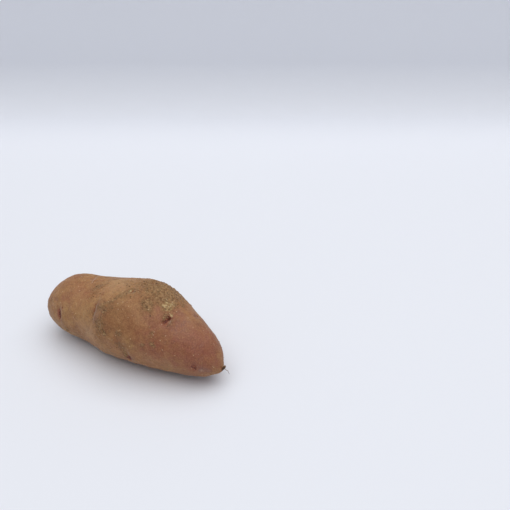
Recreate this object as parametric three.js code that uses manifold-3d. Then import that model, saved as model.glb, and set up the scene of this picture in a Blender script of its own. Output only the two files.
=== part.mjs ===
// A long, knobbly salad potato, lying on its side as it was lifted: one tuber, with the withered
// stub of its stolon still on the heel end.
//
// Millimetres, +Z up. X runs along the tuber, from the round head end (-X) to the pointed heel end
// (+X). The origin is on the small flat spot that the tuber rests on.
//
// A place on the skin is given by `along`, the share of the length from the head end, and `around`,
// in degrees about the long axis: 0 faces +Y, 90 is the top, 180 faces -Y and 270 is the underside.

import * as THREE from "three";
import { mergeVertices } from "three/addons/utils/BufferGeometryUtils.js";
import Module from "manifold-3d";

// Driving dimensions, of the smooth body before its lumps.
const LENGTH = 100;
const WIDTH = 40.5;
const HEIGHT = 38.5;
const HEAD_ROUND = 16; // radius of curvature of the head end
const HEEL_ROUND = 3; // the same at the heel end
const REST_SINK = 0.35; // how far the round underside is flattened where it lies
const REST_CALM = 2.5; // below this height the skin has less relief, and none at the bottom

// The girths, head end first. `wide` is a share of WIDTH, and every girth is as tall for its width
// as the greatest one is. `side` and `high` are where its middle lies along Y and Z. The first and
// last are the tips, which the two end radii shape.
const GIRTHS = [
  { along: 0.0, side: -3.3, high: 14.6 },
  { along: 0.06, wide: 0.54, side: -0.9, high: 16.0 },
  { along: 0.16, wide: 0.76, side: -0.3, high: 16.9 },
  { along: 0.28, wide: 0.865, side: 0.5, high: 17.4 },
  { along: 0.42, wide: 0.97, side: 0.1, high: 18.6 },
  { along: 0.56, wide: 1.0, side: 0.8, high: 19.2 },
  { along: 0.7, wide: 0.885, side: 0.3, high: 17.8 },
  { along: 0.83, wide: 0.665, side: -0.7, high: 15.5 },
  { along: 0.93, wide: 0.455, side: -1.3, high: 13.3 },
  { along: 1.0, side: -2.1, high: 9.2 },
];

// Swellings and hollows: `rise` out of the smooth body, fading over `reach`.
const SWELLS = [
  { along: 0.6, around: 66, reach: 12, rise: 1.45 },
  { along: 0.3, around: 200, reach: 9, rise: -0.85 },
  { along: 0.5, around: 150, reach: 14, rise: 0.55 },
  { along: 0.72, around: 150, reach: 11, rise: -0.4 },
  { along: 0.85, around: 120, reach: 9, rise: 0.55 },
  { along: 0.12, around: 70, reach: 11, rise: 1.4 },
  { along: 0.45, around: 10, reach: 13, rise: 0.8 },
  { along: 0.8, around: 350, reach: 10, rise: 0.3 },
];

// Small lumps and dents go all round, one for each turn of the golden angle.
const GOLDEN_ANGLE = 137.5;
const LUMPS = { count: 24, most: 0.22, least: 5, reach: 9, sway: 60, seed: 7 };

// Eyes: a slit across the tuber with a bud in it, and on its heel side a brow, the scar of a scale
// leaf, which bows round the slit. `slit` and `brow` are lengths across the tuber, `deep` the
// depth of the slit and `proud` the height of the brow.
const SEEN_EYES = [
  { along: 0.164, around: 165, slit: 4.6, deep: 0.9, brow: 15, proud: 0.4 },
  { along: 0.241, around: 80, slit: 3.2, deep: 0.45, brow: 11, proud: 0.35 },
  { along: 0.386, around: 139, slit: 5.0, deep: 0.45, brow: 17, proud: 0.6 },
  { along: 0.526, around: 99, slit: 2.4, deep: 0.6, brow: 6, proud: 0.2 },
  { along: 0.592, around: 201, slit: 3.6, deep: 0.8, brow: 11, proud: 0.35 },
  { along: 0.738, around: 114, slit: 5.2, deep: 1.5, brow: 11, proud: 0.45 },
  { along: 0.908, around: 174, slit: 3.0, deep: 0.9, brow: 7, proud: 0.3 },
];

// The eyes of the far side and the underside follow the tuber's own spiral, one turn of the golden
// angle for each step from the heel towards the head. `seen` is the arc that the list above covers.
const SPIRAL = { first: 0.86, step: 0.075, start: 270, count: 12, seen: [60, 215], seed: 11 };
const HIDDEN_EYE = { slit: 3.4, deep: 0.6, brow: 8, proud: 0.25 };
const HIDDEN_MORE = { along: 0.03, around: 14, slit: 1.6, deep: 0.5, brow: 5, proud: 0.2 };

// The section that all eyes share.
const SLIT_WIDE = 1.0;
const BUD_ROUND = 0.8;
const BUD_PROUD = 0.45; // of the slit's depth
const BROW_AWAY = 1.9; // from the middle of the slit to the crest of the brow
const BROW_STEEP = 0.9; // width of the side that faces the slit, at the middle of the brow
const BROW_SOFTER = 0.12; // and what it gains for each millimetre towards an end
const BROW_GENTLE = 0.26; // width of the far side, as a share of the brow's length
const BROW_BOW = 0.02; // how far the brow bends back, per square of the distance across

// Folds: shallow creases that run across the tuber and lean along it by `lean`, a share of the
// length for each 90 degrees, with a swollen lip on the heel side.
const FOLDS = [
  { along: 0.472, around: 117, span: 19, lean: -0.31, deep: 0.16, wide: 1.3, lip: 0.14 },
  { along: 0.345, around: 178, span: 30, lean: -0.2, deep: 0.4, wide: 3.4, lip: 0.3 },
  { along: 0.588, around: 188, span: 20, lean: 0.16, deep: 0.22, wide: 1.6, lip: 0.22 },
  { along: 0.62, around: 330, span: 45, lean: 0.08, deep: 0.35, wide: 3.0, lip: 0.3 },
  { along: 0.28, around: 20, span: 40, lean: -0.06, deep: 0.4, wide: 3.2, lip: 0.25 },
];
const LIP_AWAY = 2; // from the crease to the lip, in widths of the crease
const LIP_WIDE = 1.6;

// The withered stub of the stolon: a twig that curls up out of the heel end.
const STUB_LENGTH = 2.5;
const STUB_ROOT = 2; // how deep it starts in the flesh
const STUB_RADII = [0.9, 0.85, 0.8, 0.6, 0.5, 0.6, 0.42]; // from its root to its torn end
const STUB_SIDES = 10;
const STUB_CURL = 2.4; // radius of the curl
const STUB_LIFT = 25; // degrees that its root points up
const STUB_TURN = 26; // degrees that it points towards +Y

// Fineness of the faces.
const BALL_DETAIL = 11;
const PLAIN_EDGE = 3.6;
const EYE_EDGE = 0.9;
const EYE_REACH = 7; // how far from a brow the faces have grown to their plain size
const PASSES = 4;
const SAME_POINT = 1e-5;

// A natural cubic spline through (xs, ys).
function curveThrough(xs, ys) {
  const last = xs.length - 1;
  const bend = new Array(last + 1).fill(0);
  const share = new Array(last + 1).fill(0);
  for (let i = 1; i < last; i++) {
    const before = xs[i] - xs[i - 1];
    const after = xs[i + 1] - xs[i];
    const turn = (ys[i + 1] - ys[i]) / after - (ys[i] - ys[i - 1]) / before;
    const pivot = 2 * (before + after) - before * share[i - 1];
    share[i] = after / pivot;
    bend[i] = (6 * turn - before * bend[i - 1]) / pivot;
  }
  for (let i = last - 1; i > 0; i--) bend[i] -= share[i] * bend[i + 1];

  return (x) => {
    let i = 0;
    while (i < last - 1 && x > xs[i + 1]) i++;
    const wide = xs[i + 1] - xs[i];
    const t = x - xs[i];
    const slope = (ys[i + 1] - ys[i]) / wide - (wide * (2 * bend[i] + bend[i + 1])) / 6;
    const twist = (bend[i + 1] - bend[i]) / (6 * wide);
    return ys[i] + t * slope + (t * t * bend[i]) / 2 + t ** 3 * twist;
  };
}

// The same run of numbers between 0 and 1 every time (a Lehmer generator).
function drawsFrom(seed) {
  const most = 2 ** 31 - 1;
  let state = seed;
  return () => {
    state = (state * 48271) % most;
    return state / most;
  };
}

const hump = (distance, reach) => Math.exp(-((distance / reach) ** 2));

// The smooth body is a stretched ball. `turn` goes from 0 at the head tip to pi at the heel tip.
const turnAt = (along) => Math.acos(1 - 2 * along);
const turns = GIRTHS.map((girth) => turnAt(girth.along));
const fullnesses = GIRTHS.map((girth, i) => {
  if (i === 0) return Math.sqrt((HEAD_ROUND * LENGTH) / 2);
  if (i === GIRTHS.length - 1) return Math.sqrt((HEEL_ROUND * LENGTH) / 2);
  return (girth.wide * WIDTH) / 2 / Math.sin(turns[i]);
});
const fullness = curveThrough(turns, fullnesses);
const sideways = curveThrough(turns, GIRTHS.map((girth) => girth.side));
const upwards = curveThrough(turns, GIRTHS.map((girth) => girth.high));

// The point of the unit ball, whose poles are on X, for a place on the skin.
function ballPoint(along, around) {
  const turn = turnAt(along);
  const angle = THREE.MathUtils.degToRad(around);
  return new THREE.Vector3(
    -Math.cos(turn),
    Math.sin(turn) * Math.cos(angle),
    Math.sin(turn) * Math.sin(angle),
  );
}

// The point of the smooth body for a point of the ball.
function onBody(ball) {
  const turn = Math.acos(THREE.MathUtils.clamp(-ball.x, -1, 1));
  const full = fullness(turn);
  return new THREE.Vector3(
    (LENGTH / 2) * ball.x,
    sideways(turn) + full * ball.y,
    upwards(turn) - REST_SINK + ((full * HEIGHT) / WIDTH) * ball.z,
  );
}

const outwards = (ball) =>
  new THREE.Vector3((ball.x * WIDTH) / LENGTH, ball.y, (ball.z * WIDTH) / HEIGHT).normalize();

// A feature where it lies on the body, with its own axes: towards the heel and across the tuber.
function placed(feature) {
  const { along, around } = feature;
  const centre = onBody(ballPoint(along, around));
  const heelward = onBody(ballPoint(along + 0.01, around)).sub(centre).normalize();
  const across = onBody(ballPoint(along, around + 1)).sub(centre).normalize();
  return { ...feature, centre, heelward, across };
}

function hiddenEyes() {
  const draw = drawsFrom(SPIRAL.seed);
  const eyes = [];
  for (let i = 0; i < SPIRAL.count; i++) {
    const around = (SPIRAL.start + GOLDEN_ANGLE * i) % 360;
    const eye = { along: SPIRAL.first - SPIRAL.step * i, around, ...HIDDEN_EYE };
    for (const key of Object.keys(HIDDEN_MORE)) eye[key] += HIDDEN_MORE[key] * draw();
    if (around < SPIRAL.seen[0] || around > SPIRAL.seen[1]) eyes.push(eye);
  }
  return eyes;
}

function lumps() {
  const draw = drawsFrom(LUMPS.seed);
  return Array.from({ length: LUMPS.count }, (_, i) => ({
    along: (i + 0.5) / LUMPS.count,
    around: (GOLDEN_ANGLE * i + LUMPS.sway * draw()) % 360,
    reach: LUMPS.least + (LUMPS.reach - LUMPS.least) * draw(),
    rise: LUMPS.most * (2 * draw() - 1),
  }));
}

const eyes = [...SEEN_EYES, ...hiddenEyes()].map(placed);
const swells = [...SWELLS, ...lumps()].map(placed);

function eyeRelief(eye, point) {
  const from = point.clone().sub(eye.centre);
  if (from.length() > 1.5 * eye.brow) return 0;
  const across = from.dot(eye.across);
  const lengthwise = from.dot(eye.heelward) + BROW_BOW * across * across;
  const slit = hump(lengthwise, SLIT_WIDE) * hump(across, eye.slit / 2);
  const bud = hump(from.length(), BUD_ROUND);
  const past = lengthwise - BROW_AWAY;
  const wide = past < 0 ? BROW_STEEP + BROW_SOFTER * Math.abs(across) : BROW_GENTLE * eye.brow;
  const brow = hump(past, wide) * hump(across, eye.brow / 2);
  return eye.deep * (BUD_PROUD * bud - slit) + eye.proud * brow;
}

function foldRelief(fold, along, around) {
  const off = THREE.MathUtils.euclideanModulo(around - fold.around + 180, 360) - 180;
  const past = (along - fold.along - (fold.lean * off) / 90) * LENGTH;
  const crease = fold.deep * hump(past, fold.wide);
  const lip = fold.lip * hump(past - LIP_AWAY * fold.wide, LIP_WIDE * fold.wide);
  return hump(off, fold.span) * (lip - crease);
}

// The skin's point for a point of the ball: the body with its relief, flat where it rests.
function onSkin(ball) {
  const point = onBody(ball);
  const along = (1 + ball.x) / 2;
  const around = THREE.MathUtils.radToDeg(Math.atan2(ball.z, ball.y));
  let relief = 0;
  for (const eye of eyes) relief += eyeRelief(eye, point);
  for (const fold of FOLDS) relief += foldRelief(fold, along, around);
  for (const swell of swells) {
    relief += swell.rise * hump(point.distanceTo(swell.centre), swell.reach);
  }
  const calm = THREE.MathUtils.clamp(point.z / REST_CALM, 0, 1);
  point.addScaledVector(outwards(ball), relief * calm);
  point.z = Math.max(point.z, 0);
  return point;
}

// How long an edge may be at a place: short along the brow of an eye, and longer away from it.
function longestEdge(place) {
  let nearest = EYE_REACH;
  for (const eye of eyes) {
    const from = place.clone().sub(eye.centre);
    const half = eye.brow / 2;
    const across = THREE.MathUtils.clamp(from.dot(eye.across), -half, half);
    nearest = Math.min(nearest, from.addScaledVector(eye.across, -across).length());
  }
  return THREE.MathUtils.mapLinear(nearest, 0, EYE_REACH, EYE_EDGE, PLAIN_EDGE);
}

// Halves every edge of the ball that is too long on the body. Both faces of an edge are cut at the
// same point, so the ball stays closed.
function splitLongEdges(balls, faces) {
  const middles = new Map();
  const middleOf = (a, b) => {
    const key = a < b ? `${a},${b}` : `${b},${a}`;
    if (!middles.has(key)) {
      const middle = balls[a].clone().add(balls[b]).normalize();
      const length = onBody(balls[a]).distanceTo(onBody(balls[b]));
      const cut = length > longestEdge(onBody(middle));
      middles.set(key, cut ? balls.push(middle) - 1 : null);
    }
    return middles.get(key);
  };
  const splitFace = ([a, b, c]) => {
    const [ab, bc, ca] = [middleOf(a, b), middleOf(b, c), middleOf(c, a)];
    if (ab === null && bc === null && ca === null) return [[a, b, c]];
    if (ab !== null && bc !== null && ca !== null) {
      return [[a, ab, ca], [ab, b, bc], [ca, bc, c], [ab, bc, ca]];
    }
    // The corners are taken in turn until the first edge is cut and the last one isn't.
    if (ab === null || ca !== null) return splitFace([b, c, a]);
    if (bc === null) return [[a, ab, c], [ab, b, c]];
    return [[a, ab, c], [ab, bc, c], [ab, b, bc]];
  };
  return faces.flatMap(splitFace);
}

function skinGeometry() {
  const ball = new THREE.IcosahedronGeometry(1, BALL_DETAIL);
  ball.deleteAttribute("normal");
  ball.deleteAttribute("uv");
  const merged = mergeVertices(ball, SAME_POINT);
  const position = merged.getAttribute("position");
  const index = merged.getIndex().array;
  const balls = [];
  for (let i = 0; i < position.count; i++) {
    balls.push(new THREE.Vector3().fromBufferAttribute(position, i).normalize());
  }
  let faces = [];
  for (let i = 0; i < index.length; i += 3) faces.push([...index.slice(i, i + 3)]);
  for (let pass = 0; pass < PASSES; pass++) faces = splitLongEdges(balls, faces);

  const geometry = new THREE.BufferGeometry();
  const places = balls.flatMap((point) => onSkin(point).toArray());
  geometry.setAttribute("position", new THREE.Float32BufferAttribute(places, 3));
  geometry.setIndex(faces.flat());
  return geometry;
}

// The stub is turned about +X, curled upwards past the skin, and set on the heel tip.
function stubGeometry() {
  const last = STUB_RADII.length - 1;
  const profile = STUB_RADII.map((radius, i) => {
    const reach = THREE.MathUtils.lerp(-STUB_ROOT, STUB_LENGTH, i / last);
    return new THREE.Vector2(radius, reach);
  });
  profile.unshift(new THREE.Vector2(0, -STUB_ROOT));
  profile.push(new THREE.Vector2(0, STUB_LENGTH));
  const geometry = new THREE.LatheGeometry(profile, STUB_SIDES).rotateZ(-Math.PI / 2);

  const position = geometry.getAttribute("position");
  for (let i = 0; i < position.count; i++) {
    const angle = Math.max(position.getX(i), 0) / STUB_CURL;
    const inside = STUB_CURL - position.getZ(i);
    const x = Math.min(position.getX(i), 0) + inside * Math.sin(angle);
    position.setXYZ(i, x, position.getY(i), STUB_CURL - inside * Math.cos(angle));
  }

  const heel = onSkin(ballPoint(1, 0));
  geometry.rotateY(-THREE.MathUtils.degToRad(STUB_LIFT));
  geometry.rotateZ(THREE.MathUtils.degToRad(STUB_TURN));
  geometry.translate(heel.x, heel.y, heel.z);
  geometry.deleteAttribute("normal");
  geometry.deleteAttribute("uv");
  return mergeVertices(geometry, SAME_POINT);
}

const wasm = await Module();
wasm.setup();

function solidOf(geometry) {
  const mesh = new wasm.Mesh({
    numProp: 3,
    vertProperties: new Float32Array(geometry.getAttribute("position").array),
    triVerts: new Uint32Array(geometry.getIndex().array),
  });
  return new wasm.Manifold(mesh);
}

function geometryOf(solid) {
  const mesh = solid.getMesh();
  const geometry = new THREE.BufferGeometry();
  geometry.setAttribute("position", new THREE.BufferAttribute(mesh.vertProperties, 3));
  geometry.setIndex(new THREE.BufferAttribute(mesh.triVerts, 1));
  geometry.computeVertexNormals();
  return geometry;
}

const skin = new THREE.MeshStandardMaterial({ color: 0xa87c5c, roughness: 0.7, metalness: 0 });

const grown = solidOf(skinGeometry()).add(solidOf(stubGeometry()));
const tuber = new THREE.Mesh(geometryOf(grown), skin);
tuber.name = "tuber";

const potato = new THREE.Group();
potato.add(tuber);

export default potato;
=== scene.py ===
"""A long, knobbly salad potato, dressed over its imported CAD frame.

The skin is the same stretched ball as the CAD solid, worked out again on a finer grid, so that the
slits of the eyes, the brows and the creases stay crisp from close by. On it come the bud scales in
the eyes, the withered stub of the stolon, a dry root hair, and crumbs of dried soil.

A place on the skin is given by `along`, the share of the length from the head end (-X), and
`around`, in degrees about the long axis: 0 faces +Y, 90 is the top, 180 faces -Y, 270 is under.
Forms are worked out in millimetres, and meshes are made in metres.
"""

import logging
import math
from dataclasses import dataclass, replace
from enum import Enum
from functools import cached_property
from itertools import combinations
from typing import Iterable, Iterator

import bpy
import numpy as np
from mathutils import Matrix, Vector
from numpy.typing import NDArray


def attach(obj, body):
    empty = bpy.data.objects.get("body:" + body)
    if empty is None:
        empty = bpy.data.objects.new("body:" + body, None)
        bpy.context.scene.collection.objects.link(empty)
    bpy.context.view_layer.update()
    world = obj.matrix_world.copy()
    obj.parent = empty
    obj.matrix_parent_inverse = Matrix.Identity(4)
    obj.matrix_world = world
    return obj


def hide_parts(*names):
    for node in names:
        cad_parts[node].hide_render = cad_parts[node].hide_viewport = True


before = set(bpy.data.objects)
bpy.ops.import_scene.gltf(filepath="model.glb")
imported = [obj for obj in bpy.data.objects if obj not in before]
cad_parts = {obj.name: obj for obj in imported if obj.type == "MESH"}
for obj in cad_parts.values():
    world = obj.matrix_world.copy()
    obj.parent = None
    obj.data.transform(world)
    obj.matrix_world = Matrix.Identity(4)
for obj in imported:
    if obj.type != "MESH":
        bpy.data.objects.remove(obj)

Array = NDArray[np.float64]
Faces = list[tuple[int, ...]]
Tree = bpy.types.NodeTree
Socket = bpy.types.NodeSocket
Inputs = dict[str | int, object]

LOG = logging.getLogger("potato")
BODY = "root"
NODE = "tuber"
MM = 0.001
GOLDEN_ANGLE = 137.5

# Sockets of Blender's Mix node when it mixes colours.
MIX_FACTOR = 0
MIX_BELOW = 6
MIX_ABOVE = 7
MIXED = 2


def linear(hex_colour: str) -> tuple[float, float, float, float]:
    """Turns an sRGB hex colour into the linear colour that shaders take.

    Args:
        hex_colour: The colour, such as "#A27B5A".

    Returns:
        Linear red, green and blue, and full alpha.
    """
    channels = []
    for start in (1, 3, 5):
        value = int(hex_colour[start : start + 2], 16) / 255
        channels.append(value / 12.92 if value <= 0.04045 else ((value + 0.055) / 1.055) ** 2.4)
    return (channels[0], channels[1], channels[2], 1.0)


def per_metre(size_mm: float) -> float:
    """Returns the texture scale that makes one cell of a pattern this many millimetres."""
    return 1 / (size_mm * MM)


def hump(distance: Array | float, reach: Array | float) -> Array:
    """Returns 1 at no distance, fading softly over the reach."""
    return np.exp(-np.square(distance / reach))


def unit(vectors: Array) -> Array:
    """Returns the vectors, each made one long."""
    return vectors / np.linalg.norm(vectors, axis=-1, keepdims=True)


def draws(seed: int) -> Iterator[float]:
    """Gives the same run of numbers between 0 and 1 every time (a Lehmer generator).

    Args:
        seed: Where the run starts.

    Yields:
        The next number.
    """
    most = 2**31 - 1
    state = seed
    while True:
        state = state * 48271 % most
        yield state / most


def closed_tube(first: Array, rings: Array, last: Array) -> tuple[Array, Faces]:
    """Makes a tube of rings of points, closed by a point at each end.

    Args:
        first: The point that closes its start.
        rings: The points of the rings, by ring and then round it.
        last: The point that closes its end.

    Returns:
        All the points, and the faces, column by column: a triangle, the quads and a triangle.
    """
    sides = rings.shape[1]
    points = np.concatenate([[first], rings.reshape(-1, 3), [last]])
    end = len(points) - 1
    faces: Faces = []
    for column in range(sides):
        after = (column + 1) % sides
        faces.append((0, 1 + after, 1 + column))
        for start in range(1, end - sides, sides):
            under = start + sides
            faces.append((start + column, start + after, under + after, under + column))
        faces.append((end, end - sides + column, end - sides + after))
    return points, faces


def add_node(
    tree: Tree, kind: str, settings: dict[str, object] | None = None, inputs: Inputs | None = None
) -> bpy.types.Node:
    """Adds a node with its settings and its inputs.

    Args:
        tree: The material's node tree.
        kind: The node's type name, without its "ShaderNode".
        settings: Properties of the node.
        inputs: A value, or another node's output socket to link, for each input.

    Returns:
        The new node.
    """
    node = tree.nodes.new("ShaderNode" + kind)
    for name, value in (settings or {}).items():
        setattr(node, name, value)
    for key, value in (inputs or {}).items():
        if isinstance(value, Socket):
            tree.links.new(value, node.inputs[key])
        else:
            node.inputs[key].default_value = value
    return node


@dataclass(frozen=True)
class Finish:
    """A material. Each kind of finish says what reaches the sockets of its shader.

    Args:
        name: The material's name.
    """

    name: str

    def sockets(self, tree: Tree, place: Socket) -> Inputs:
        """Returns what each socket of the shader takes, with the nodes for it added to the tree."""
        raise NotImplementedError

    def make(self) -> bpy.types.Material:
        """Builds the material.

        Returns:
            The material, with its one shader.
        """
        material = bpy.data.materials.new(self.name)
        material.use_nodes = True
        tree = material.node_tree
        tree.nodes.clear()
        place = add_node(tree, "TexCoord").outputs["Object"]
        surface = add_node(tree, "BsdfPrincipled", inputs=self.sockets(tree, place))
        add_node(tree, "OutputMaterial", inputs={"Surface": surface.outputs["BSDF"]})
        return material


def new_piece(
    name: str, points: Array, faces: Faces, finish: Finish, marks: dict[str, Array] | None = None
) -> bpy.types.Object:
    """Makes a smooth-shaded mesh object with its material.

    Args:
        name: The object's name.
        points: The points, in millimetres.
        faces: The faces, as rows of point numbers.
        finish: Its finish.
        marks: Numbers for the material to read, by name, one for each point.

    Returns:
        The object, at the origin, with its points in metres.
    """
    mesh = bpy.data.meshes.new(name)
    mesh.from_pydata((points * MM).tolist(), [], faces)
    mesh.polygons.foreach_set("use_smooth", [True] * len(mesh.polygons))
    mesh.update()
    for mark, values in (marks or {}).items():
        attribute = mesh.attributes.new(mark, "FLOAT", "POINT")
        attribute.data.foreach_set("value", np.ascontiguousarray(values, dtype=np.float32))
    mesh.materials.append(finish.make())
    piece = bpy.data.objects.new(name, mesh)
    bpy.context.scene.collection.objects.link(piece)
    return piece


# The form of the tuber, the same as the CAD solid's


@dataclass(frozen=True)
class Curve:
    """A natural cubic spline through points in order.

    Args:
        xs: Where the points are.
        ys: Their values.
    """

    xs: tuple[float, ...]
    ys: tuple[float, ...]

    def bends(self) -> Array:
        """Works out how the curve bends.

        Returns:
            The second derivative at each point.
        """
        xs, ys = np.array(self.xs), np.array(self.ys)
        wide = np.diff(xs)
        rows = np.eye(len(xs))
        turns = np.zeros(len(xs))
        for i in range(1, len(xs) - 1):
            rows[i, i - 1 : i + 2] = wide[i - 1], 2 * (wide[i - 1] + wide[i]), wide[i]
            turns[i] = 6 * ((ys[i + 1] - ys[i]) / wide[i] - (ys[i] - ys[i - 1]) / wide[i - 1])
        return np.linalg.solve(rows, turns)

    def at(self, x: Array) -> Array:
        """Reads the curve.

        Args:
            x: Where to read it.

        Returns:
            One value for each x.
        """
        xs, ys, bends = np.array(self.xs), np.array(self.ys), self.bends()
        i = np.clip(np.searchsorted(xs, x) - 1, 0, len(xs) - 2)
        wide = xs[i + 1] - xs[i]
        t = x - xs[i]
        slope = (ys[i + 1] - ys[i]) / wide - wide * (2 * bends[i] + bends[i + 1]) / 6
        return ys[i] + t * slope + t**2 * bends[i] / 2 + t**3 * (bends[i + 1] - bends[i]) / (6 * wide)


@dataclass(frozen=True)
class Girth:
    """A girth of the tuber. `wide` is a share of the width, and `side` and `high` place its middle."""

    along: float
    side: float
    high: float
    wide: float = 0.0


@dataclass(frozen=True)
class Swell:
    """A swelling, or a hollow where `rise` is below nothing, fading over `reach`."""

    along: float
    around: float
    reach: float
    rise: float


@dataclass(frozen=True)
class Eye:
    """An eye: a slit across the tuber, `slit` long and `deep` deep, and the brow on its heel side.

    `red` is how dark red its slit is, `grey` how violet-grey its brow is, and `scar_and_highlight` how
    pale the line between them is, partly pale skin and partly painted highlight on the lip, from 0 to 1.
    `lean` is how far it runs towards the heel for each millimetre across the tuber, and `crack` is how
    deep the crack at its bottom is, as a share of its depth.
    """

    along: float
    around: float
    slit: float
    deep: float
    brow: float
    proud: float
    red: float = 0.6
    grey: float = 0.12
    scar_and_highlight: float = 0.4
    lean: float = 0.0
    crack: float = 0.5


@dataclass(frozen=True)
class Fold:
    """A crease across the tuber with a swollen lip. `soil` is how much dust lies in it, from 0 to 1."""

    along: float
    around: float
    span: float
    lean: float
    deep: float
    wide: float
    lip: float
    soil: float = 0.0


@dataclass(frozen=True)
class Lumps:
    """Small lumps and dents all round, one for each turn of the golden angle.

    Args:
        count: How many there are.
        most: The highest rise or the deepest dent.
        reach: The least and the furthest that one reaches.
        sway: How far one may stray round the tuber, in degrees.
        seed: The draw.
    """

    count: int = 24
    most: float = 0.22
    reach: tuple[float, float] = (5.0, 9.0)
    sway: float = 60.0
    seed: int = 7

    def swells(self) -> tuple[Swell, ...]:
        """Draws the lumps, in the CAD solid's order of draws.

        Returns:
            The lumps, from the head end to the heel end.
        """
        draw = draws(self.seed)
        least, furthest = self.reach
        swells = []
        for i in range(self.count):
            around = (GOLDEN_ANGLE * i + self.sway * next(draw)) % 360
            reach = least + (furthest - least) * next(draw)
            rise = self.most * (2 * next(draw) - 1)
            swells.append(Swell((i + 0.5) / self.count, around, reach, rise))
        return tuple(swells)


@dataclass(frozen=True)
class Spiral:
    """The eyes of the far side and the underside, one for each turn of the golden angle.

    Args:
        first: `along` of the eye nearest to the heel.
        step: What it loses from one eye to the next.
        start: `around` of the first.
        count: How many turns there are.
        seen: The arc whose eyes are listed one by one.
        least: The least slit, depth, brow and rise of an eye.
        more: What `along`, `around` and these four may gain.
        seed: The draw.
    """

    first: float = 0.86
    step: float = 0.075
    start: float = 270.0
    count: int = 12
    seen: tuple[float, float] = (60.0, 215.0)
    least: tuple[float, ...] = (3.4, 0.6, 8.0, 0.25)
    more: tuple[float, ...] = (0.03, 14.0, 1.6, 0.5, 5.0, 0.2)
    seed: int = 11

    def eyes(self) -> tuple[Eye, ...]:
        """Draws the eyes, in the CAD solid's order of draws.

        Returns:
            The eyes outside the arc that is seen.
        """
        draw = draws(self.seed)
        eyes = []
        for i in range(self.count):
            around = (self.start + GOLDEN_ANGLE * i) % 360
            least = (self.first - self.step * i, around, *self.least)
            sizes = [size + more * next(draw) for size, more in zip(least, self.more)]
            if around < self.seen[0] or around > self.seen[1]:
                eyes.append(Eye(*sizes))
        return tuple(eyes)


@dataclass(frozen=True)
class Ripples:
    """Soft, even unevenness all over, in no direction: many plane waves of one length together.

    Args:
        size: From crest to crest, in millimetres.
        rise: The usual height, in millimetres.
        seed: The draw.
        waves: How many waves are added up.
    """

    size: float
    rise: float
    seed: int
    waves: int = 32

    def at(self, points: Array) -> Array:
        """Works out the unevenness.

        Args:
            points: Where it is wanted.

        Returns:
            The height at each point, in millimetres.
        """
        rng = np.random.default_rng(self.seed)
        ways = unit(rng.normal(size=(self.waves, 3))) * 2 * math.pi / self.size
        starts = rng.uniform(0, 2 * math.pi, self.waves)
        return self.rise * math.sqrt(2 / self.waves) * np.sin(points @ ways.T + starts).sum(-1)


@dataclass(frozen=True)
class Spot:
    """A place on the smooth body, with the directions towards the heel and across the tuber."""

    centre: Array
    heelward: Array
    across: Array


def off_round(ball: Array, around: float) -> Array:
    """Returns how far round points of the ball are from a place, from -180 to 180 degrees."""
    return (np.degrees(np.arctan2(ball[..., 2], ball[..., 1])) - around + 180) % 360 - 180


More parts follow.
